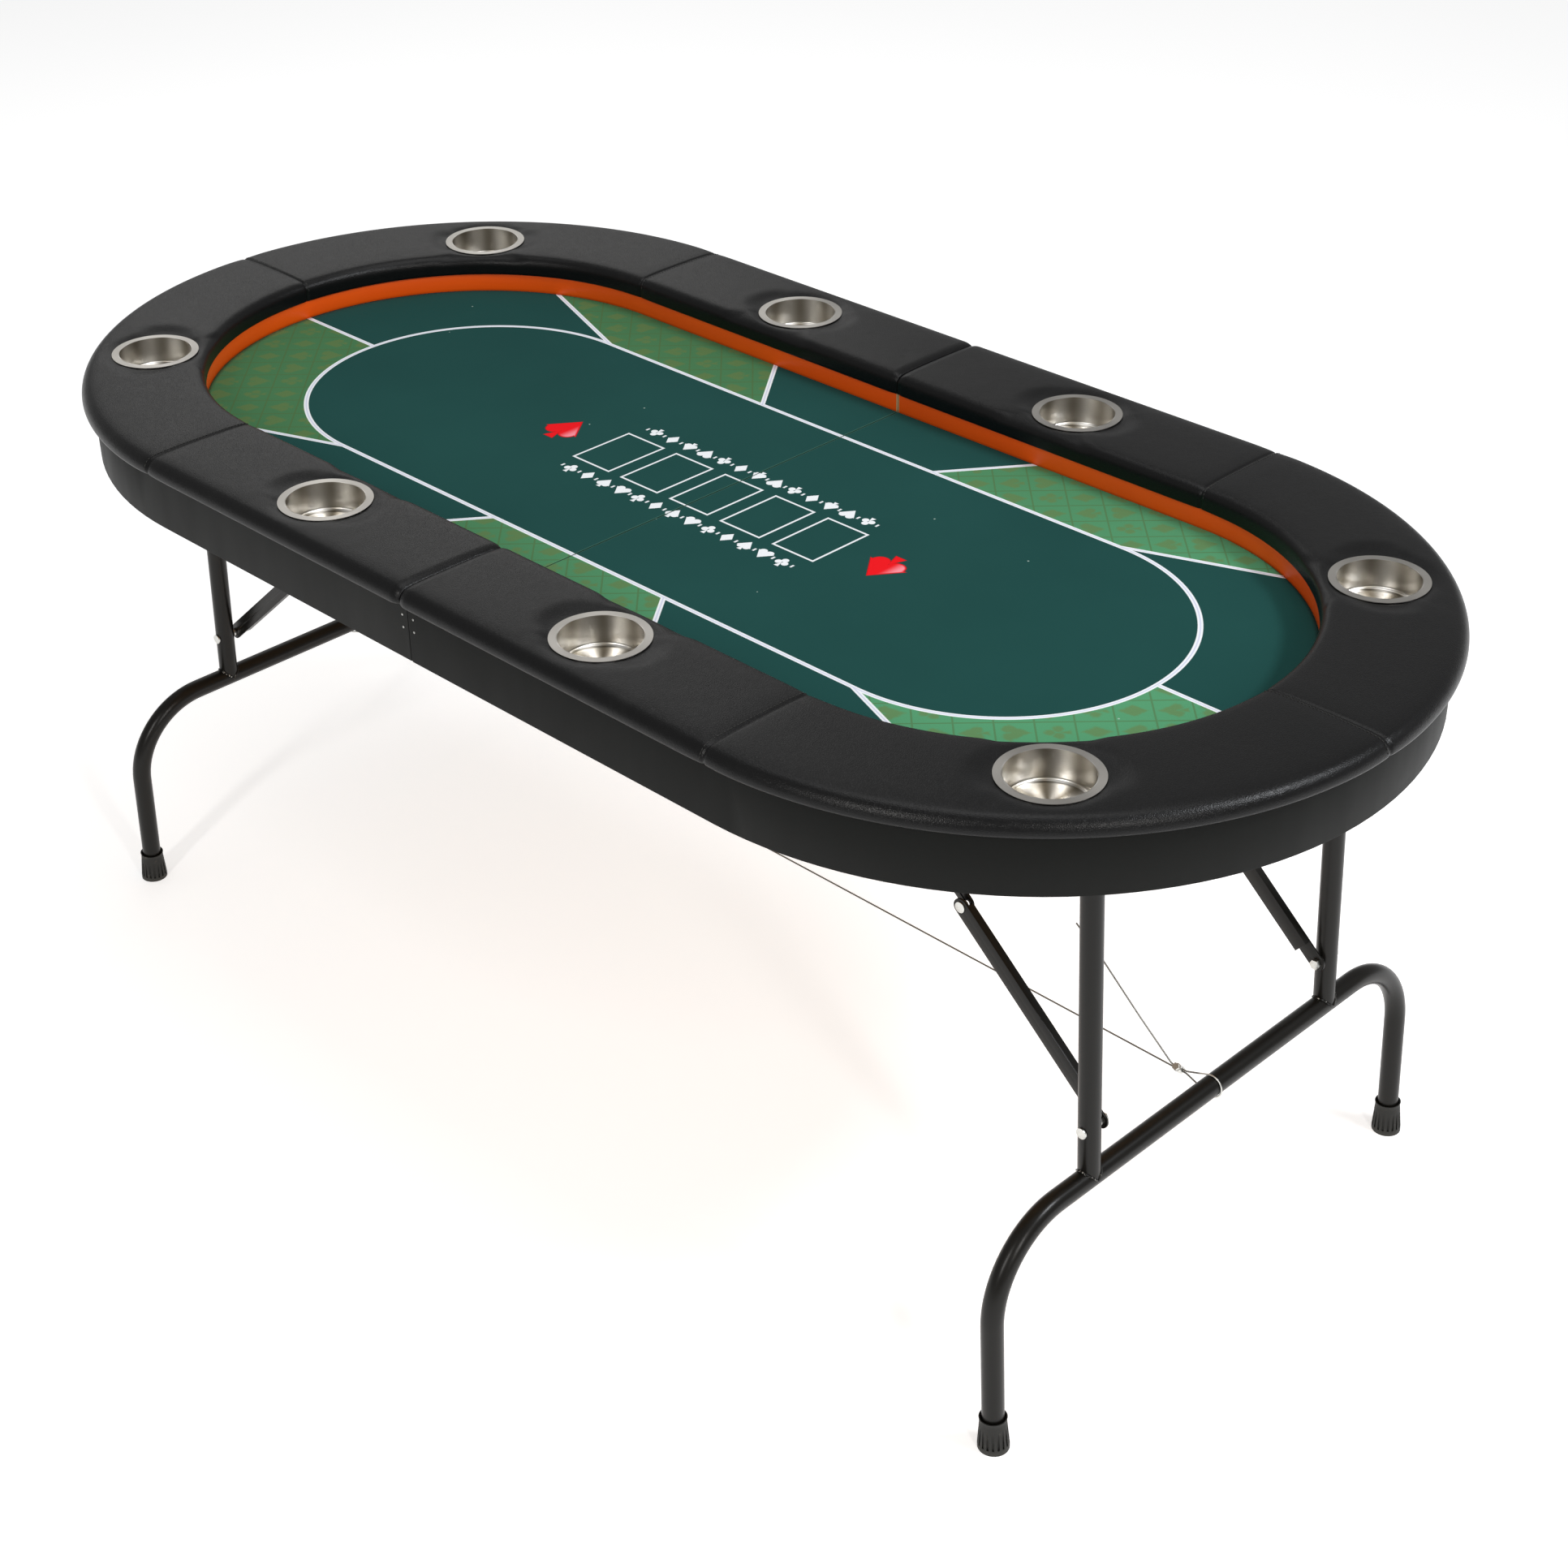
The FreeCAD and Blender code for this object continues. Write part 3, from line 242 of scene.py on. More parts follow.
def thread():
    g = Graph("stitch_thread", specular=0.3)
    twist = g.noise(2600.0, 1.0, stretch=(1.0, 1.0, 0.4))
    g.colour(g.mix(twist, linear(28, 28, 28), linear(74, 73, 70)))
    g.rough(0.65)
    g.bump(twist, 0.0001, 0.6)
    return g.material


def skirt_vinyl():
    g = Graph("skirt_vinyl", specular=0.13)
    broad = g.noise(5.0, 3.0)
    fine = g.noise(1400.0, 3.0, 0.6)
    drag = g.noise(30.0, 4.0, stretch=(1.0, 1.0, 0.25))
    foot = 670.0 * MM
    low_edge = g.step(g.axes()[2], foot + 0.5 * MM, foot - 0.5 * MM)
    shade = g.mix(broad * 0.6 + drag * 0.4, linear(11, 12, 10), linear(16, 17, 15))
    g.colour(g.mix(low_edge, shade, linear(14, 14, 13)))
    g.rough(0.46 + drag * 0.14)
    g.bump(drag, 0.0006, 0.12)
    g.bump(fine, 0.00008, 0.5)
    return g.material


def painted_wood():
    g = Graph("painted_wood", specular=0.45, coat=0.12, coat_rough=0.25)
    x, _, z = g.axes()
    wall_foot, wall_middle = 709.5 * MM, 725.5 * MM
    brush = g.noise(90.0, 4.0, 0.6, stretch=(0.12, 0.12, 1.6))
    broad = g.noise(9.0, 3.0)
    paint = g.mix(broad, linear(238, 84, 0), linear(252, 98, 2))
    paint = g.mix(brush * 0.3, paint, linear(206, 62, 0))
    grain = g.noise(60.0, 5.0, 0.6, stretch=(8.0, 8.0, 0.6))
    wood = g.mix(grain, linear(166, 128, 88), linear(205, 172, 128))
    ragged = g.noise(420.0, 3.0)
    at_split = g.step(abs(x) + ragged * 1.2 * MM, 3.2 * MM, 2.6 * MM)
    chip_noise = g.noise(210.0, 3.0, 0.65)
    chips = g.step(chip_noise, 0.735, 0.755) * g.step(abs(z - wall_middle), 4.0 * MM, 10.5 * MM)
    shade = g.mix(chips.high(at_split), paint, wood)
    # darker towards the foot of the wall, within 4 mm of the cloth
    darker_at_foot = g.step(z, wall_foot + 4.0 * MM, wall_foot)
    g.colour(g.mix(darker_at_foot * 0.35, shade, linear(60, 20, 6)))
    g.rough(0.34 + brush * 0.16)
    g.bump(brush, 0.0002, 0.4)
    g.bump(chips, 0.0003, -1.0)
    return g.material


def raw_board():
    g = Graph("bare_wood", specular=0.25)
    fibre = g.noise(420.0, 4.0, 0.65, stretch=(0.35, 1.0, 1.0))
    broad = g.noise(6.0, 3.0)
    fleck = g.step(g.noise(900.0, 2.0), 0.62, 0.72)
    base = g.mix(broad, linear(166, 132, 96), linear(188, 154, 114))
    base = g.mix(fibre * 0.5, base, linear(134, 100, 68))
    g.colour(g.mix(fleck * 0.35, base, linear(104, 74, 48)))
    g.rough(0.78)
    g.bump(fibre, 0.00015, 0.5)
    return g.material


def brushed_steel():
    """Steel brushed round each cup's own axis."""
    g = Graph("cup_steel", metal=1.0, anisotropy=0.75, specular=0.5)
    x, y, z = g.axes()
    at_end = abs(x).above((SIDE_CUP[0] + END_CUP[0]) / 2)
    centre_x = at_end * (END_CUP[0] - SIDE_CUP[0]) + SIDE_CUP[0]
    centre_y = at_end * (END_CUP[1] - SIDE_CUP[1]) + SIDE_CUP[1]
    off_x = x - centre_x * (x.above(0.0) * 2.0 - 1.0)
    off_y = y - centre_y * (y.above(0.0) * 2.0 - 1.0)
    turn = g.node("ShaderNodeVectorTransform", vector_type="NORMAL", convert_from="OBJECT",
                  convert_to="WORLD")
    g.feed(turn.inputs[0], g.vector(off_y * -1.0, off_x))
    g.feed(g.shader.inputs["Tangent"], turn.outputs[0])
    out = length_of(g, off_x, off_y)
    around = g.math("ARCTAN2", off_y, off_x)
    polar = g.vector(out * 60.0, around * 0.35, z * 60.0)
    hair = g.noise(30.0, 4.0, 0.7, at=polar)
    wall_start, wall_full, bands = 46.0 * MM, 43.0 * MM, 8.0
    painted_bands = (around * bands).op("COSINE") * g.step(out, wall_start, wall_full)    # painted reflection: light and dark bands round the cup's wall, standing in for reflected lamps
    shade = g.mix(0.50 - painted_bands * 0.50, linear(134, 127, 114), linear(250, 248, 244))
    g.colour(g.mix(hair * 0.35, shade, linear(172, 167, 158)))
    g.rough(0.25 + hair * 0.10)
    g.bump(hair, 0.00001, 0.15)
    return g.material


def powder_coat():
    g = Graph("black_powder_coat", specular=0.26)
    peel = g.noise(900.0, 2.0)
    broad = g.noise(14.0, 3.0)
    dust = g.step(g.noise(300.0, 5.0, 0.7), 0.66, 0.76)
    shade = g.mix(broad, linear(14, 13, 11), linear(22, 20, 16))
    g.colour(g.mix(dust * 0.2, shade, linear(46, 42, 36)))
    g.rough(0.26 + broad * 0.08)
    g.bump(peel, 0.00012, 0.35)
    return g.material


def zinc():
    g = Graph("zinc_steel", metal=1.0)
    spangle = g.cells(260.0)
    stain = g.noise(40.0, 4.0)
    shade = g.mix(spangle, linear(150, 150, 148), linear(196, 196, 192))
    g.colour(g.mix(g.step(stain, 0.55, 0.75) * 0.5, shade, linear(120, 112, 92)))
    g.rough(0.30 + stain * 0.2)
    g.bump(stain, 0.0001, 0.3)
    return g.material


def rivet():
    g = Graph("rivet_steel", metal=1.0)
    swirl = g.noise(700.0, 3.0, stretch=(1.0, 0.2, 1.0))
    g.colour(g.mix(swirl, linear(196, 196, 192), linear(228, 228, 224)))
    g.rough(0.22 + swirl * 0.16)
    g.bump(swirl, 0.00006, 0.5)
    return g.material


def rubber():
    g = Graph("foot_rubber", specular=0.35)
    fine = g.noise(700.0, 4.0, 0.6)
    scuff = g.step(g.noise(120.0, 4.0, 0.65), 0.58, 0.74)
    floor_dust = g.step(g.axes()[2], 10.0 * MM, 0.0)
    shade = g.mix(fine, linear(30, 30, 28), linear(42, 41, 38))
    g.colour(g.mix(scuff * 0.35 + floor_dust * 0.25, shade, linear(84, 80, 72)))
    g.rough(0.55 + fine * 0.15)
    g.bump(fine, 0.00015, 0.6)
    return g.material


def cable_steel():
    g = Graph("cable_steel", metal=1.0)
    tint = g.noise(500.0, 3.0)
    plain = g.mix(tint, linear(96, 94, 90), linear(158, 156, 150))
    loop_highlight = g.step(abs(g.axes()[0]), 731.0 * MM, 738.0 * MM)     # painted highlight: the loops round the bar are coloured near white
    g.colour(g.mix(loop_highlight, plain, linear(226, 225, 220)))
    g.rough(0.34 + tint * 0.1)
    g.bump(tint, 0.00005, 0.4)
    return g.material


def weld_metal():
    g = Graph("weld_bead", metal=0.6, specular=0.6)
    lump = g.noise(260.0, 3.0)
    # spots of bare metal, painted near white to give the bead its glints
    glint_spots = g.step(g.noise(330.0, 2.0), 0.60, 0.66)
    g.colour(g.mix(glint_spots, linear(22, 21, 19), linear(205, 202, 194)))
    g.rough(0.24 + lump * 0.2)
    g.bump(lump, 0.0008, 0.6)
    return g.material


def heart(g, u, v, half):
    """Signed distance to a heart with its tip at v = -half."""
    wide = abs(u)
    lobe = length_of(g, wide - 0.45 * half, v - 0.38 * half) - 0.47 * half
    cone = wide * 0.8 - (v + half) * 0.6
    return lobe.low(cone.high(v - 0.42 * half))


def stem(g, u, v, half):
    """The foot of a spade or club."""
    flare = abs(u) - 0.07 * half + (v + 0.35 * half) * 0.34
    return flare.high(-v - 0.98 * half).high(v + 0.2 * half)


def spade(g, u, v, half):
    raised = v - 0.12 * half
    return heart(g, u, -raised, 0.88 * half).low(stem(g, u, v, half))


def club(g, u, v, half):
    top = length_of(g, u, v - 0.42 * half) - 0.38 * half
    pair = length_of(g, abs(u) - 0.42 * half, v + 0.14 * half) - 0.38 * half
    return top.low(pair).low(stem(g, u, v, half))


def diamond(g, u, v, half):
    return abs(u) * 0.81 + abs(v) * 0.59 - 0.59 * half


def suit_of(g, kind, u, v, half):
    """The shape that kind, 0 to 3, picks: a spade, heart, club or diamond."""
    shapes = [spade(g, u, v, half), heart(g, u, v, half), club(g, u, v, half), diamond(g, u, v, half)]
    chosen = shapes[0]
    for number, shape in enumerate(shapes[1:], start=1):
        picked = kind.op("COMPARE", float(number), 0.4)
        chosen = picked * shape + (1.0 - picked) * chosen
    return chosen


def playing_cloth():
    """Printed polyester cloth: the betting line, its dividers, card boxes, pips and lattice panels."""
    g = Graph("playing_cloth", specular=0.04, sheen=0.02, sheen_rough=0.4)
    place_x, y, _ = g.axes()
    x = place_x - 5.0 * MM                # the print lies a little off the middle
    wide, deep = abs(x), abs(y)
    edge = 0.5 * MM

    def ink(distance, half, soft=edge):
        """1 within half of the line at distance 0."""
        return g.step(distance, half + soft, half - soft)

    line_arc, line_radius = 421.4 * MM, 213.9 * MM
    oval = length_of(g, (wide - line_arc).high(0.0), y) - line_radius
    outside = g.step(oval, 0.0, 0.4 * MM)

    def divider(through, normal):
        """Signed distance to a straight line through a point, in each quarter of the cloth."""
        return (wide - through[0] * MM) * normal[0] - (deep - through[1] * MM) * normal[1]

    inner = divider((143.0, 218.0), (0.797, 0.604))
    outer = divider((418.0, 214.0), (0.354, 0.935))
    at_end = deep + (wide - 637.0 * MM).op("LESS_THAN", 0.0)
    dividers = abs(inner).low(abs(outer)).low(at_end)
    line = abs(oval).low(dividers.high(-oval))
    white = ink(line, 2.9 * MM)
    core = ink(line, 0.8 * MM, 0.9 * MM)

    far = y.above(0.0)
    middle = inner.op("LESS_THAN", 0.0)
    end = outer.above(0.0)
    flank = (1.0 - middle) * (1.0 - end)
    panel = (far * flank + (1.0 - far) * (1.0 - flank)) * outside

    # lattice of suits, turned 45 degrees
    cell = 40.0 * MM
    along, across = (x + y) * math.sqrt(0.5), (y - x) * math.sqrt(0.5)
    row, column = (along / cell).floor(), (across / cell).floor()
    u = along - (row + 0.5) * cell
    v = across - (column + 0.5) * cell
    kind = (row + column * 3.0).op("FLOORED_MODULO", 4.0)
    blur = g.noise(260.0, 2.0)
    suit = suit_of(g, kind, v, -u, 15.5 * MM) + (blur - 0.5) * 5.0 * MM
    suit_ink = g.step(suit, 1.8 * MM, -2.6 * MM)
    lattice = (cell / 2 - abs(u)).low(cell / 2 - abs(v))
    lattice_ink = g.step(lattice, 1.5 * MM, 0.5 * MM)

    # five card boxes
    pitch, last_box = 83.0 * MM, 2.0
    number = (x / pitch + 0.5).floor().low(last_box).high(-last_box)
    box_x = x - number * pitch
    box = (abs(box_x) - 30.5 * MM).high(deep - 44.0 * MM)
    box_ink = ink(abs(box), 1.35 * MM)

    # one ornament row on each side of the boxes: small outlined suits between dots
    tile, reach = 29.0 * MM, 190.0 * MM
    tile_number = (x / tile + 0.5).floor()
    tile_x = x - tile_number * tile
    upright = far * 2.0 - 1.0
    tile_y = deep - 68.0 * MM
    kind_row = (tile_number + 20.0).op("FLOORED_MODULO", 4.0)
    mark = suit_of(g, kind_row, tile_x * upright, -tile_y, 11.0 * MM)
    dot = (tile / 2 - abs(tile_x)).high(abs(tile_y) * 0.45) - 1.3 * MM
    row_ink = g.step(mark.low(dot), 0.35 * MM, -0.35 * MM) * g.step(wide, reach + edge, reach)

    # a red spade beyond each end of the boxes, its gloss a painted highlight on the +x side
    turned = x.above(0.0) * 2.0 - 1.0
    pip_x = (wide - 262.0 * MM) * turned
    pip_half = 29.0 * MM
    pip = spade(g, pip_x, -(y * turned), pip_half)
    pip_ink = g.step(pip, 0.4 * MM, -0.4 * MM)
    # painted highlight on the pip's +x side, inside its rim
    pip_highlight = g.step(pip_x, 4.0 * MM, 20.0 * MM) * g.step(pip, -0.8 * MM, -3.6 * MM)
    rim = g.step(pip, -1.6 * MM, 0.2 * MM)

    heather = g.noise(1100.0, 2.0, 0.7)
    cloud = g.noise(4.5, 3.0)
    dark = g.mix(cloud, linear(26, 67, 64), linear(34, 79, 75))
    dark = g.mix(heather * 0.30, dark, linear(24, 62, 58))
    painted_light_gradient = g.step(x + y * -0.4, -0.5, 0.75)        # painted light: the light panels paler towards the right and the front
    light = g.mix(cloud, linear(68, 114, 74), linear(76, 124, 84))
    light = g.mix(painted_light_gradient, light, linear(86, 154, 112))
    light = g.mix(heather * 0.25, light, linear(54, 112, 70))
    light = g.mix(lattice_ink * 0.50, light, linear(82, 100, 56))
    light = g.mix(suit_ink * 0.55, light, linear(102, 118, 66))
    cloth = g.mix(panel, dark, light)
    red = g.mix(pip_highlight * 0.55, linear(232, 22, 30), linear(255, 190, 205))
    red = g.mix(rim * 0.8, red, linear(120, 16, 20))
    cloth = g.mix(pip_ink, cloth, red)
    paper = g.mix(core, linear(240, 243, 246), linear(206, 208, 230))
    printed = white.high(box_ink).high(row_ink)
    cloth = g.mix(printed * 0.96, cloth, paper)
    lint = g.step(g.cells(24.0), 0.034, 0.022) * g.step(g.noise(9.0, 1.0), 0.50, 0.56)
    cloth = g.mix(lint * 0.7, cloth, linear(176, 196, 186))
    # painted light at the split: a painted highlight on the edge where the cloth rolls over, and a dark
    # line of painted shade in the gap
    from_fold = abs(place_x)
    split_edge_highlight = g.step(from_fold, 2.2 * MM, 1.4 * MM)
    cloth = g.mix(split_edge_highlight * 0.16, cloth, linear(118, 160, 132))
    split_shade = g.step(from_fold, 1.1 * MM, 0.6 * MM)
    g.colour(g.mix(split_shade * 0.75, cloth, linear(10, 30, 26)))
    g.rough(0.78 + heather * 0.14)
    threads = 5200.0
    weave = (x * threads).op("SINE") * (y * threads).op("SINE")
    g.bump(heather, 0.00018, 0.45)
    g.bump(weave * 0.5 + 0.5, 0.00006, 0.35)
    return g.material


MATERIALS = {
    "leatherette": leatherette(), "thread": thread(), "vinyl": skirt_vinyl(), "paint": painted_wood(),
    "board": raw_board(), "steel": brushed_steel(), "coat": powder_coat(), "zinc": zinc(),
    "rivet": rivet(), "rubber": rubber(), "cable": cable_steel(), "weld": weld_metal(),
    "cloth": playing_cloth(),
}


# ---------------------------------------------------------------- CAD nodes that stay

def finish_node(node, material, bevel=0.0):
    """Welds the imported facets, rounds the sharp edges a little and shades the rest smooth."""
    piece = NODES[node]
    piece.data.materials.clear()
    piece.data.materials.append(MATERIALS[material])
    piece.data.polygons.foreach_set("use_smooth", [True] * len(piece.data.polygons))
    weld = piece.modifiers.new("weld", "WELD")
    weld.merge_threshold = WELD_DISTANCE
    if bevel:
        edge = piece.modifiers.new("edge", "BEVEL")
        edge.width = bevel
        edge.segments = 2
        edge.limit_method = "ANGLE"
        edge.angle_limit = math.radians(40)
    crisp = piece.modifiers.new("crisp", "EDGE_SPLIT")
    crisp.split_angle = SMOOTH_ANGLE


# material and rounded edge of each node; the paired ones are at the front and the rear
PLAIN = {
    "playfield_board": ("board", 0.0006), "rail_base": ("board", 0.0), "inner_wall": ("paint", 0.0008),
    "skirt": ("vinyl", 0.0012), "centre_batten": ("board", 0.001), "leg_brackets": ("zinc", 0.0003),
    "brace_anchors": ("zinc", 0.0003), "hinge_leaves": ("zinc", 0.0002), "screws": ("zinc", 0.0),
    "pivot_bar": ("coat", 0.0004), "crossbar": ("coat", 0.0), "brace_bolts": ("rivet", 0.0003),
}
PAIRED = {
    "side_cup": ("steel", 0.0), "end_cup": ("steel", 0.0), "upright": ("coat", 0.0),
    "foot": ("rubber", 0.0), "lower_brace": ("coat", 0.0005), "upper_brace": ("coat", 0.0004),
    "joint_rivet": ("rivet", 0.0002),
}
for side in SIDES:
    for part, (material, bevel) in PLAIN.items():
        finish_node(f"{side}_{part}", material, bevel)
    for part, (material, bevel) in PAIRED.items():
        for hand in ("front", "rear"):
            finish_node(f"{side}_{part}_{hand}", material, bevel)
finish_node("hinge_pins", "zinc")


# ---------------------------------------------------------------- mesh helpers

def mesh_piece(name, points, faces, material):
    mesh = bpy.data.meshes.new(name)
    mesh.from_pydata([tuple(p) for p in points], [], faces)
    mesh.materials.append(MATERIALS[material])
    mesh.polygons.foreach_set("use_smooth", [True] * len(mesh.polygons))
    work = bmesh.new()
    work.from_mesh(mesh)
    bmesh.ops.recalc_face_normals(work, faces=work.faces)
    work.to_mesh(mesh)
    work.free()
    piece = bpy.data.objects.new(name, mesh)
    bpy.context.scene.collection.objects.link(piece)
    return piece


def ring_quads(first, rings, around, closed=False):
    """Quads between neighbouring rings of points, and from the last ring to the first if closed."""
    quads = []
    for ring in range(rings if closed else rings - 1):
        here, there = first + ring * around, first + (ring + 1) % rings * around
        for k in range(around):
            n = (k + 1) % around
            quads.append([here + k, here + n, there + n, there + k])
    return quads


def smoothstep(value, start, end):
    t = min(max((value - start) / (end - start), 0.0), 1.0)
    return t * t * (3 - 2 * t)


def turned(points, side):
    """Points of the right half as points of that side's half."""
    return [(SIDES[side] * p[0], SIDES[side] * p[1], p[2]) for p in points]


# ---------------------------------------------------------------- padded rail

LIP_BOTTOM, BASE_TOP, UNDER_ROLL = 733.4 * MM, 747.35 * MM, 738.4 * MM
COVER_INNER, COVER_OUTER = 308.2 * MM, 456.6 * MM
BASE_INNER, BASE_OUTER = 311.9 * MM, 447.35 * MM
CREST = 760.0 * MM
INNER_EDGE, OUTER_EDGE = 12.0 * MM, 16.5 * MM     # radii of the cover's rolled edges
CUP_SEAT = 756.3 * MM             # leather under the cups' flanges
CUP_OPENING = 47.8 * MM
CUT, BEND_END = 42.5 * MM, 66.0 * MM      # half width of the square cut out at a cup, and of what bends
ROW_RADIUS, ROW_SPACING = 374.4 * MM, 5.6 * MM    # the row through the cups' centres
END_CUP_TURN = math.atan2(END_CUP[1], END_CUP[0] - ARC)
QUARTER = math.pi / 2
RAIL_FAR = ARC + math.pi * ROW_RADIUS     # distance along the rail at which its round end stops


def rolled(middle, radius, start, end, steps):
    """Points round an edge between two angles in degrees, without the first."""
    angles = [math.radians(a) for a in np.linspace(start, end, steps + 1)[1:]]
    return [(middle[0] + radius * math.cos(a), middle[1] + radius * math.sin(a)) for a in angles]


def rail_section():
    """Pairs of (radius, height): the cover's outer skin, and its inner skin against the wooden base."""
    pairs = [((COVER_INNER, z), (BASE_INNER, z)) for z in np.linspace(LIP_BOTTOM, BASE_TOP, 5)]
    middle = (COVER_INNER + INNER_EDGE, CREST - INNER_EDGE - 0.6 * MM)
    for outer in rolled(middle, INNER_EDGE, 180.0, 90.0, 5):
        pairs.append((outer, (max(outer[0], BASE_INNER), BASE_TOP)))
    crown, crown_at, crown_half, fall = 0.9 * MM, 380.0 * MM, 62.0 * MM, 1.5 * MM
    for k in range(-9, 12):
        radius = ROW_RADIUS + k * ROW_SPACING
        across = (radius - crown_at) / crown_half
        pairs.append(((radius, CREST + crown - fall * abs(across) ** 3), (radius, BASE_TOP)))
    middle = (COVER_OUTER - OUTER_EDGE, CREST - 0.8 * MM - OUTER_EDGE)
    for outer in rolled(middle, OUTER_EDGE, 90.0, 0.0, 8):
        pairs.append((outer, (min(outer[0], BASE_OUTER), BASE_TOP)))
    tuck = middle[1] - UNDER_ROLL
    under = rolled((COVER_OUTER - tuck, middle[1]), tuck, 0.0, -90.0, 4)
    for k, outer in enumerate(under, start=1):
        pairs.append((outer, (BASE_OUTER, BASE_TOP - (BASE_TOP - UNDER_ROLL) * k / len(under))))
    return pairs


def thinned(values, least):
    """The sorted values, without those closer than least to the one before."""
    kept = []
    for value in values:
        if not kept or value - kept[-1] > least:
            kept.append(value)
    return kept


def rail_stations():
    """Where the section is drawn: (centre x, normal, distance along the rail), and where the seams are."""
    pitch, end_cup_steps, nearest = 8.0 * MM, 37, 0.5 * MM
    split_steps, seam_steps = (0.0, 0.7, 2.0, 4.2, 7.5, 12.0), (1.0, 2.2, 4.0)      # mm
    straight = {round(SIDE_CUP[0] + k * pitch, 6) for k in range(-27, 28)}
    straight |= {round(GAP + d * MM, 6) for d in split_steps}
    straight |= {round(ARC - d * MM, 6) for d in seam_steps}
    straight = thinned(sorted(x for x in straight if GAP <= x < ARC - nearest), 0.65 * MM)
    step = END_CUP_TURN / end_cup_steps
    turns = {round(k * step, 6) for k in range(-73, 74)}
    for d in seam_steps:
        small = d * MM / ROW_RADIUS
        turns |= {round(t, 6) for t in (-QUARTER + small, QUARTER - small, small, -small)}
    turns = [t for t in sorted(turns) if abs(t) < QUARTER - nearest / ROW_RADIUS]
    turns = thinned(turns, 0.8 * MM / ROW_RADIUS)
    stations = [(x, -QUARTER, x) for x in straight] + [(ARC, -QUARTER, ARC)]
    stations += [(ARC, t, ARC + (t + QUARTER) * ROW_RADIUS) for t in turns]
    stations += [(ARC, QUARTER, RAIL_FAR)]
    stations += [(x, QUARTER, RAIL_FAR + ARC - x) for x in reversed(straight)]
    return stations, [ARC, ARC + QUARTER * ROW_RADIUS, RAIL_FAR]


def cup_places():
    """Each cup's centre and its distance along the rail."""
    places = []
    for hand in (-1, 1):
        along_side = SIDE_CUP[0] if hand < 0 else RAIL_FAR + ARC - SIDE_CUP[0]
        along_end = ARC + (hand * END_CUP_TURN + QUARTER) * ROW_RADIUS
        places.append((Vector((SIDE_CUP[0], hand * SIDE_CUP[1])), along_side))
        places.append((Vector((END_CUP[0], hand * END_CUP[1])), along_end))
    return places


def quads_at_cups(stations, pairs, cups):
    """Which quads of the skins are cut out for the cups."""
    cut = np.zeros((len(stations) - 1, len(pairs) - 1), bool)
    for i, (here, ahead) in enumerate(zip(stations, stations[1:])):
        for j, (near, far) in enumerate(zip(pairs, pairs[1:])):
            s, r = (here[2] + ahead[2]) / 2, (near[0][0] + far[0][0]) / 2
            cut[i, j] = near[0][1] > BASE_TOP and any(
                abs(s - cup_s) < CUT and abs(r - ROW_RADIUS) < CUT for _, cup_s in cups)
    return cut


def depth_at(s, total, seam):
    """How far the outer skin is pulled in: round the corner at the split, and in the groove of a seam."""
    rounding = max(0.0, 1.0 - (min(s, total - s) - GAP) / (12.0 * MM))
    inset = 5.2 * MM * (1.0 - math.sqrt(max(0.0, 1.0 - rounding ** 2)))
    groove = 1.5 * MM * math.exp(-(seam / (2.0 * MM)) ** 2)
    dip = 0.7 * MM * math.exp(-(seam / (14.0 * MM)) ** 2)
    return inset + groove + dip


def drawn_in(pair, depth):
    """The outer skin's (radius, height), moved towards the inner skin."""
    r, z = pair[0]
    inwards = Vector((pair[1][0] - r, pair[1][1] - z))
    if inwards.length > 0:
        depth = min(depth, 0.5 * inwards.length)
        inwards.normalize()
        r, z = r + inwards.x * depth, z + inwards.y * depth
    return r, z


def round_cup(flat, centre, normal, along, out, on_rim):
    """A point near a cup: on the opening's circle if it is on the rim, or part of the way there."""
    share = (max(abs(along), abs(out)) - CUT) / (BEND_END - CUT)
    amount = 0.0 if on_rim else min(1.0, max(0.12, share))
    tangent = Vector((-normal.y, normal.x))
    circle = centre + (tangent * along + normal * out).normalized() * CUP_OPENING
    return circle.lerp(flat, amount)


def seated(z, distance, along, out):
    """The skin's height near a cup, pushed down to its seat under the flange."""
    rise = min(smoothstep(math.hypot(along / 1.2, out), 50.0 * MM, 67.0 * MM),
               smoothstep(distance, 53.0 * MM, 62.0 * MM))
    return CUP_SEAT + (z - CUP_SEAT) * rise


def cover_quads(cut):
    """The faces of both skins and of the strips that join them, and the number of each point in use."""
    faces, used = [], {}
    stretches, strips = cut.shape

    def corner(i, j, skin):
        return used.setdefault((i, j, skin), len(used))

    def join(p, q):
        faces.append([corner(*p, 0), corner(*q, 0), corner(*q, 1), corner(*p, 1)])

    for i in range(stretches):
        for j in range(strips):
            if cut[i, j]:
                for di, dj, p, q in ((-1, 0, (i, j), (i, j + 1)), (1, 0, (i + 1, j), (i + 1, j + 1)),
                                     (0, -1, (i, j), (i + 1, j)), (0, 1, (i, j + 1), (i + 1, j + 1))):
                    if not cut[i + di, j + dj]:
                        join(p, q)
                continue
            for skin in (0, 1):
                faces.append([corner(i, j, skin), corner(i + 1, j, skin),
                              corner(i + 1, j + 1, skin), corner(i, j + 1, skin)])
        for j in (0, strips):
            join((i, j), (i + 1, j))
    for i in (0, stretches):
        for j in range(strips):
            join((i, j), (i, j + 1))
    return faces, used


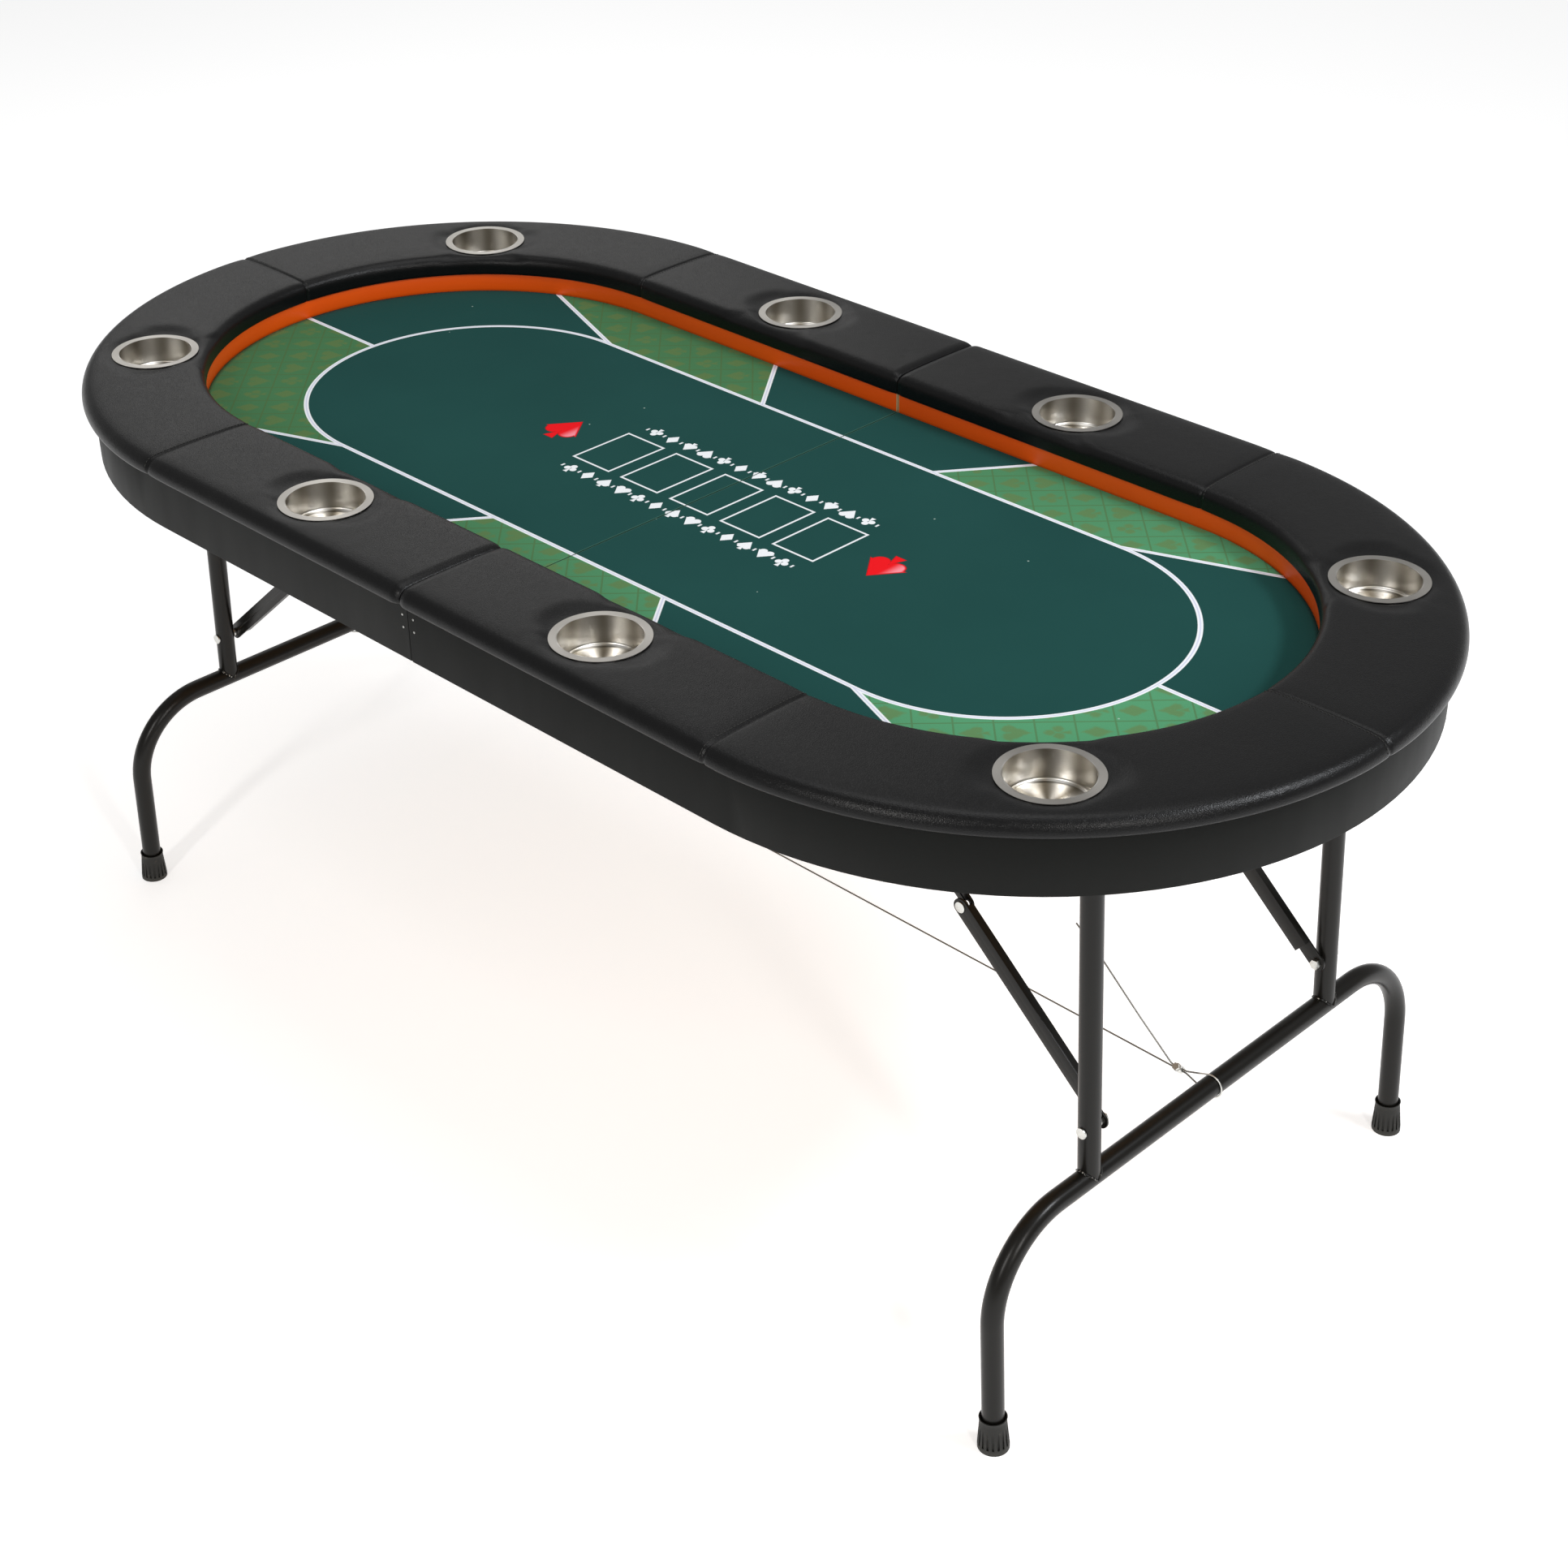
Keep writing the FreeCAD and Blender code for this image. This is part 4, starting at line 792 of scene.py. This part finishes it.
def build_cover():
    """The right half's cover as points and faces, with what the simulation holds still."""
    pairs = rail_section()
    stations, seams = rail_stations()
    cups = cup_places()
    cut = quads_at_cups(stations, pairs, cups)
    count, total = len(pairs), stations[-1][2]
    points = np.zeros((len(stations), count, 2, 3))
    pinned = np.zeros((len(stations), count, 2), bool)
    pinned[:, :, 1] = True
    pinned[:, [0, 1, count - 1], 0] = True
    pinned[[0, -1]] = True
    for i, (cx, turn, s) in enumerate(stations):
        normal = Vector((math.cos(turn), math.sin(turn)))
        seam = min(abs(s - at) for at in seams)
        depth = depth_at(s, total, seam)
        for j, pair in enumerate(pairs):
            near = cut[max(i - 1, 0):i + 1, max(j - 1, 0):j + 1]
            on_rim = near.any() and not near.all()
            out = pair[0][0] - ROW_RADIUS
            for skin in (0, 1):
                r, z = drawn_in(pair, depth) if skin == 0 else pair[1]
                flat = Vector((cx, 0.0)) + normal * r
                for centre, cup_s in cups:
                    along = s - cup_s
                    if max(abs(along), abs(out)) < BEND_END and pair[0][1] > BASE_TOP:
                        flat = round_cup(flat, centre, normal, along, out, on_rim)
                        pinned[i, j, skin] |= on_rim
                    if skin == 0 and z > CUP_SEAT:
                        distance = (flat - centre).length
                        z = seated(z, distance, along, r - ROW_RADIUS)
                        pinned[i, j, 0] |= distance < 54.2 * MM
                points[i, j, skin] = (flat.x, flat.y, z)
        if seam < 0.6 * MM:
            pinned[i] = True
    faces, used = cover_quads(cut)
    order = sorted(used, key=used.get)
    held = [used[key] for key in order if pinned[key]]
    return [points[key] for key in order], faces, held, used, stations, seams, count


def swell(points, faces, held):
    """Runs the cover as cloth under pressure and returns its points, none moved further than the cap.
    It has moved no point so far: the cover keeps the shape it is built with."""
    cover = mesh_piece("cover_simulation", points, faces, "leatherette")
    group = cover.vertex_groups.new(name="held")
    group.add(held, 1.0, "REPLACE")
    cloth = cover.modifiers.new("cloth", "CLOTH")
    settings = cloth.settings
    settings.quality = 5
    settings.mass = 0.3
    settings.tension_stiffness = 18.0
    settings.compression_stiffness = 12.0
    settings.shear_stiffness = 6.0
    settings.bending_stiffness = 0.6
    settings.use_pressure = True
    settings.uniform_pressure_force = 4.0
    settings.vertex_group_mass = "held"
    settings.pin_stiffness = 1.0
    settings.effector_weights.gravity = 0.0
    cloth.collision_settings.use_collision = False
    frames = 20
    cloth.point_cache.frame_start = 1
    cloth.point_cache.frame_end = frames
    scene = bpy.context.scene
    for frame_number in range(1, frames + 1):
        scene.frame_set(frame_number)
    solved = cover.evaluated_get(bpy.context.evaluated_depsgraph_get())
    result = np.zeros(len(points) * 3)
    solved.data.vertices.foreach_get("co", result)
    result = result.reshape(-1, 3)
    start = np.array(points)
    moved = result - start
    length = np.linalg.norm(moved, axis=1)
    print(f"cover: moved {length.mean() / MM:.2f} mm on average, {length.max() / MM:.2f} at most")
    cap, still = 3.2 * MM, 1e-9
    factor = np.where(length > still, cap * np.tanh(length / cap) / np.maximum(length, still), 1.0)
    bpy.data.objects.remove(cover)
    scene.frame_set(1)
    return start + moved * factor[:, None]


cover_points, cover_faces, cover_held, cover_index, STATIONS, SEAMS, SECTION = build_cover()
cover_points = swell(cover_points, cover_faces, cover_held)

for side in SIDES:
    cover = mesh_piece(f"{side}_rail_cover", turned(cover_points, side), cover_faces, "leatherette")
    finer = cover.modifiers.new("finer", "SUBSURF")
    finer.levels = finer.render_levels = 1
    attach(cover, f"{side}_half")
    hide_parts(f"{side}_rail_cushion")


def capsule(points, faces, centre, along, up, length, width, height):
    """One stitch: a rounded thread lying on the surface."""
    across = along.cross(up).normalized()
    rings, around = 5, 6
    first = len(points)
    for ring in range(rings):
        t = ring / (rings - 1) * 2 - 1
        full = math.sqrt(max(0.05, 1 - t ** 4))
        for k in range(around):
            a = 2 * math.pi * k / around
            points.append(centre + along * (t * length / 2) + across * (math.cos(a) * width * full)
                          + up * (math.sin(a) * height * full - (1 - full) * height))
    faces += ring_quads(first, rings, around)
    faces.append([first + k for k in range(around)])
    faces.append([first + (rings - 1) * around + k for k in range(around)])


def seam_stitches():
    """A row of stitches beside each cross seam, following the cover."""
    beside_seam, pitch, lift = 4.0 * MM, 4.4 * MM, 0.12 * MM
    length, width, height = 3.1 * MM, 0.36 * MM, 0.34 * MM
    points, faces = [], []
    for seam in SEAMS:
        distances = [abs(s - (seam - beside_seam)) for _, _, s in STATIONS]
        i = distances.index(min(distances))
        row, beside = [[Vector(cover_points[cover_index[(place, j, 0)]]) for j in range(3, SECTION - 3)]
                       for place in (i, i + 1)]
        lengths = [0.0]
        for a, b in zip(row, row[1:]):
            lengths.append(lengths[-1] + (b - a).length)
        for n in range(1, int(lengths[-1] / pitch)):
            at = n * pitch
            k = max(m for m in range(len(lengths)) if lengths[m] <= at)
            t = (at - lengths[k]) / (lengths[k + 1] - lengths[k])
            centre = row[k].lerp(row[k + 1], t)
            along = (row[k + 1] - row[k]).normalized()
            up = along.cross(beside[k] - row[k]).normalized()
            if up.z < 0:
                up = -up
            capsule(points, faces, centre + up * lift, along, up, length, width, height)
    return points, faces


stitch_points, stitch_faces = seam_stitches()
for side in SIDES:
    stitches = mesh_piece(f"{side}_seam_stitches", turned(stitch_points, side), stitch_faces, "thread")
    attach(stitches, f"{side}_half")


# ---------------------------------------------------------------- playing cloth

CLOTH_RADIUS = 311.5 * MM
CLOTH_UNDER, CLOTH_TOP, CLOTH_CREST = 708.9 * MM, 709.95 * MM, 710.0 * MM


def ripple(x, y):
    """How far the stretched cloth stands up or lies down at a place."""
    return (0.05 * MM * noise.noise(Vector((x * 9, y * 9, 0.3)))
            + 0.02 * MM * noise.noise(Vector((x * 60, y * 60, 2))))


def cloth_half():
    """The cloth on one half of the board, rolled over the board's edge at the split."""
    roll, thinnest = 1.0 * MM, 0.02 * MM
    near_split = [GAP + d * MM for d in (0.0, 0.15, 0.45, 0.95, 1.8, 3.2, 6.0)]
    rows, columns = 80, 96
    grid = []
    for row in range(rows + 1):
        y = -CLOTH_RADIUS * math.cos(math.pi * row / rows)
        far_x = ARC + math.sqrt(max(0.0, CLOTH_RADIUS ** 2 - y ** 2))
        xs = near_split + list(np.linspace(near_split[-1], far_x, columns)[1:])
        line = []
        for x in xs:
            drop = max(0.0, roll - (x - GAP))
            z = CLOTH_TOP - (roll - math.sqrt(max(0.0, roll ** 2 - drop ** 2))) + ripple(x, y)
            line.append((x, y, min(z, CLOTH_CREST)))
        grid.append(line)
    across = len(grid[0])
    points = [p for line in grid for p in line]
    points += [(x, y, min(CLOTH_UNDER, z - thinnest)) for x, y, z in points]
    layer = (rows + 1) * across
    faces = []
    for row in range(rows):
        for k in range(across - 1):
            a = row * across + k
            faces.append([a, a + 1, a + across + 1, a + across])
            faces.append([layer + a, layer + a + across, layer + a + across + 1, layer + a + 1])
        for k in (0, across - 1):
            a = row * across + k
            faces.append([a, a + across, layer + a + across, layer + a])
    for row in (0, rows):
        for k in range(across - 1):
            a = row * across + k
            faces.append([a, a + 1, layer + a + 1, layer + a])
    return points, faces


cloth_points, cloth_faces = cloth_half()
for side in SIDES:
    sheet = mesh_piece(f"{side}_playing_cloth", turned(cloth_points, side), cloth_faces, "cloth")
    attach(sheet, f"{side}_half")
    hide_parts(f"{side}_felt")


# ---------------------------------------------------------------- tie cable

BAR_CENTRE = Vector((749.74 * MM, 0.0, 260.0 * MM))     # the right crossbar
CABLE_RADIUS, STRAND_OFFSET, LOOP_RADIUS = 1.0 * MM, 1.35 * MM, 13.4 * MM
CLIP_X = BAR_CENTRE.x - 43.0 * MM
THROAT_X = CLIP_X + 10.0 * MM
TAIL = ((-10.0, 0.0), (-58.0, 40.0), (-110.0, 86.0), (-150.0, 117.0))    # mm from the clip's upper strand


def loop_round_bar():
    """Points of the loop over the right crossbar, from the lower strand round to the upper one."""
    reach = Vector((THROAT_X - BAR_CENTRE.x, STRAND_OFFSET))
    touch = math.atan2(reach.y, reach.x) - math.acos(LOOP_RADIUS / reach.length)
    return [BAR_CENTRE + Vector((math.cos(a), 0.0, math.sin(a))) * LOOP_RADIUS
            for a in np.linspace(-touch, touch, 46)]


def cable_route():
    """The cable's centreline, evenly sampled: left clip, left loop, the run across, right loop and tail."""
    upper, lower = BAR_CENTRE.z + STRAND_OFFSET, BAR_CENTRE.z - STRAND_OFFSET
    right = [Vector((THROAT_X, 0, lower))] + loop_round_bar() + [Vector((THROAT_X, 0, upper))]
    left = [Vector((-p.x, 0, p.z)) for p in reversed(right)]
    tail = [Vector((CLIP_X + dx * MM, 0, upper + dz * MM)) for dx, dz in TAIL]
    left_end = Vector((16.0 * MM - CLIP_X, 0, upper))
    corners = [left_end] + left + right + tail
    spacing = 1.2 * MM
    route = [corners[0]]
    for a, b in zip(corners, corners[1:]):
        steps = max(1, round((b - a).length / spacing))
        route += [a.lerp(b, k / steps) for k in range(1, steps + 1)]
    for _ in range(3):
        eased = [(a + b * 2 + c) / 4 for a, b, c in zip(route, route[1:], route[2:])]
        route = [route[0]] + eased + [route[-1]]
    return route


def cable_piece(name, route, first_length):
    """A stretch of the cable: a ring of six lobes that turns along it, as twisted strands do."""
    around, lobes, lay = 12, 6, 13.0 * MM
    mean, swing = 0.93 * CABLE_RADIUS, 0.09 * CABLE_RADIUS
    points = []
    length = first_length
    for k, here in enumerate(route):
        ahead = route[min(k + 1, len(route) - 1)] - route[max(k - 1, 0)]
        if k:
            length += (here - route[k - 1]).length
        along = ahead.normalized()
        side = Vector((0, 1, 0))
        up = along.cross(side)
        twist = 2 * math.pi * length / lay
        for m in range(around):
            a = 2 * math.pi * m / around
            radius = mean + swing * math.cos(lobes * a)
            points.append(here + (side * math.cos(a + twist) + up * math.sin(a + twist)) * radius)
    faces = ring_quads(0, len(route), around)
    last = (len(route) - 1) * around
    faces.append(list(range(around)))
    faces.append([last + m for m in range(around)])
    piece = mesh_piece(name, points, faces, "cable")
    return piece, length


route = cable_route()
half_cut = 0.5 * MM
middle_z = BAR_CENTRE.z - STRAND_OFFSET
before = [p for k, p in enumerate(route) if p.x < -half_cut and k < len(route) // 2]
after = [p for k, p in enumerate(route) if p.x > half_cut and k > len(route) // 3]
cut_left, cut_right = Vector((-half_cut, 0, middle_z)), Vector((half_cut, 0, middle_z))
left_cable, so_far = cable_piece("tie_cable_left", before + [cut_left], 0.0)
across = [cut_left, Vector((0, 0, middle_z)), cut_right]
middle_cable, so_far = cable_piece("tie_cable_middle", across, so_far)
right_cable, so_far = cable_piece("tie_cable_right", [cut_right] + after, so_far)
print(f"tie cable: {so_far / MM:.0f} mm")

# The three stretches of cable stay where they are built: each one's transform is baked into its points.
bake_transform(left_cable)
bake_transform(middle_cable)
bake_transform(right_cable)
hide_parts("tie_cable")


def screw_clip(side):
    """The cable clip as a piece of its own: welded, shaded smooth and in rivet steel, in place of the CAD
    node."""
    work = bmesh.new()
    work.from_mesh(NODES[f"{side}_cable_clip"].data)
    bmesh.ops.remove_doubles(work, verts=work.verts, dist=WELD_DISTANCE)
    for edge in work.edges:
        edge.smooth = len(edge.link_faces) == 2 and edge.calc_face_angle() < SMOOTH_ANGLE
    for face in work.faces:
        face.smooth = True
    mesh = bpy.data.meshes.new(f"{side}_screw_clip")
    work.to_mesh(mesh)
    work.free()
    mesh.materials.append(MATERIALS["rivet"])
    clip = bpy.data.objects.new(f"{side}_screw_clip", mesh)
    bpy.context.scene.collection.objects.link(clip)
    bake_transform(clip)
    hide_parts(f"{side}_cable_clip")


for side in SIDES:
    screw_clip(side)


# ---------------------------------------------------------------- small trim

UPRIGHT_Y, LEG_LEAN = 206.0 * MM, math.radians(3.0)
TACK_X, TACK_HEIGHTS, SKIRT_FACE = 9.0 * MM, (722.0 * MM, 707.0 * MM), 444.0 * MM
TACK_RINGS = ((1.5, 0.0), (1.4, 0.35), (0.9, 0.65))      # mm: radius, and how far out of the skirt


def weld_ring(centre, lean, seed):
    """An uneven bead where an upright meets the crossbar, along the saddle of the two tubes."""
    points = []
    around, section, tube, bead = 72, 8, 12.0 * MM, 1.45 * MM
    for k in range(around):
        a = 2 * math.pi * k / around
        rise = math.sqrt(max(0.0, 1 - math.cos(a) ** 2)) * tube
        middle = Vector((math.cos(a) * tube * 1.02, math.sin(a) * tube * 1.02, rise + 0.6 * MM))
        lump = bead * (1 + 0.45 * noise.noise(Vector((k * 0.55, seed, 0))))
        outward = Vector((math.cos(a), math.sin(a), 0.8)).normalized()
        tangent = Vector((-math.sin(a), math.cos(a), 0)).normalized()
        sideways = outward.cross(tangent).normalized()
        for m in range(section):
            b = 2 * math.pi * m / section
            points.append(middle + outward * math.cos(b) * lump + sideways * math.sin(b) * lump)
    place = Matrix.Translation(centre) @ Matrix.Rotation(lean, 4, "Y")
    return [place @ p for p in points], ring_quads(0, around, section, closed=True)


for side, sign in SIDES.items():
    for name, hand in (("front", -1), ("rear", 1)):
        centre = Vector((sign * BAR_CENTRE.x, hand * UPRIGHT_Y, BAR_CENTRE.z))
        points, faces = weld_ring(centre, -sign * LEG_LEAN, hand * 3 + sign)
        bead = mesh_piece(f"{side}_weld_bead_{name}", points, faces, "weld")
        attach(bead, f"{side}_leg_frame")


def nail_heads(side):
    """Two small tacks that hold the skirt's cover at each end of the split."""
    points, faces = [], []
    around, rings, crown = 12, len(TACK_RINGS), 0.75 * MM
    for hand in (-1, 1):
        for height in TACK_HEIGHTS:
            first = len(points)
            for radius, out in TACK_RINGS:
                for k in range(around):
                    a = 2 * math.pi * k / around
                    points.append((TACK_X + radius * MM * math.cos(a), hand * (SKIRT_FACE + out * MM),
                                   height + radius * MM * math.sin(a)))
            points.append((TACK_X, hand * (SKIRT_FACE + crown), height))
            faces += ring_quads(first, rings, around)
            inmost = first + (rings - 1) * around
            for k in range(around):
                faces.append([inmost + k, inmost + (k + 1) % around, first + rings * around])
            faces.append([first + k for k in range(around)])
    return mesh_piece(f"{side}_skirt_tacks", turned(points, side), faces, "zinc")


for side in SIDES:
    tacks = nail_heads(side)
    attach(tacks, f"{side}_half")


# ---------------------------------------------------------------- studio

FLOOR_REACH, FLOOR_GLOW, SKY_GLOW = 14.0, 0.52, 0.34
LIGHTS = (      # name, place, size, watts, tint
    ("back_left", (-3.6, 2.2, 2.6), (2.4, 1.4), 9.0, (1.0, 0.99, 0.97)),
    ("right_high", (2.9, 1.05, 3.3), (1.2, 0.5), 66.0, (0.93, 0.96, 1.0)),
    ("band_left", (1.0, -3.9, 2.9), (0.26, 1.6), 46.0, (1.0, 0.98, 0.95)),
    ("band_right", (4.0, -1.6, 2.9), (0.26, 1.6), 42.0, (1.0, 0.98, 0.95)),
    ("top", (0.0, 0.3, 4.2), (3.0, 2.0), 36.0, (1.0, 1.0, 1.0)),
)
LIGHTS_TARGET = Vector((0.0, 0.0, 0.6))
WHITE = (1.0, 1.0, 1.0, 1.0)


def studio():
    """A pale floor, a white world and soft area lights."""
    floor_mesh = bpy.data.meshes.new("floor")
    corners = [(x * FLOOR_REACH, y * FLOOR_REACH, 0) for x, y in ((-1, -1), (1, -1), (1, 1), (-1, 1))]
    floor_mesh.from_pydata(corners, [], [(0, 1, 2, 3)])
    floor = bpy.data.objects.new("floor", floor_mesh)
    g = Graph("studio_floor", specular=0.0)
    g.shader.inputs["Emission Color"].default_value = WHITE
    g.shader.inputs["Emission Strength"].default_value = FLOOR_GLOW
    g.colour(g.mix(g.noise(0.6, 2.0), (0.86, 0.86, 0.86), (0.90, 0.90, 0.90)))
    g.rough(0.9)
    floor_mesh.materials.append(g.material)
    bpy.context.scene.collection.objects.link(floor)
    world = bpy.data.worlds.new("studio")
    world.use_nodes = True
    world.node_tree.nodes["Background"].inputs["Color"].default_value = WHITE
    world.node_tree.nodes["Background"].inputs["Strength"].default_value = SKY_GLOW
    bpy.context.scene.world = world
    bpy.context.scene.view_settings.view_transform = "Standard"
    for name, place, size, power, tint in LIGHTS:
        light = bpy.data.lights.new(name, "AREA")
        light.shape = "RECTANGLE"
        light.size, light.size_y = size
        light.energy = power
        light.color = tint
        lamp = bpy.data.objects.new(name, light)
        lamp.location = place
        lamp.rotation_euler = (LIGHTS_TARGET - Vector(place)).to_track_quat("-Z", "Y").to_euler()
        bpy.context.scene.collection.objects.link(lamp)


def camera():
    """The photograph's viewing angle: the right end in front, seen from above."""
    azimuth, elevation, roll = math.radians(45.04), math.radians(31.952), math.radians(-0.669)
    target, distance = Vector((0.0486, 0.0605, 0.310)), 3.2752
    back = Vector((math.sin(azimuth) * math.cos(elevation), -math.cos(azimuth) * math.cos(elevation),
                   math.sin(elevation)))
    level = (-back).cross(Vector((0, 0, 1))).normalized()
    rise = level.cross(-back)
    right = math.cos(roll) * level + math.sin(roll) * rise
    up = -math.sin(roll) * level + math.cos(roll) * rise
    data = bpy.data.cameras.new("camera")
    data.lens, data.sensor_width = 61.14, 36.0
    data.clip_end = 60.0
    item = bpy.data.objects.new("camera", data)
    turn = Matrix((right, up, back)).transposed().to_4x4()
    item.matrix_world = Matrix.Translation(target + back * distance) @ turn
    bpy.context.scene.collection.objects.link(item)
    bpy.context.scene.camera = item


studio()
camera()
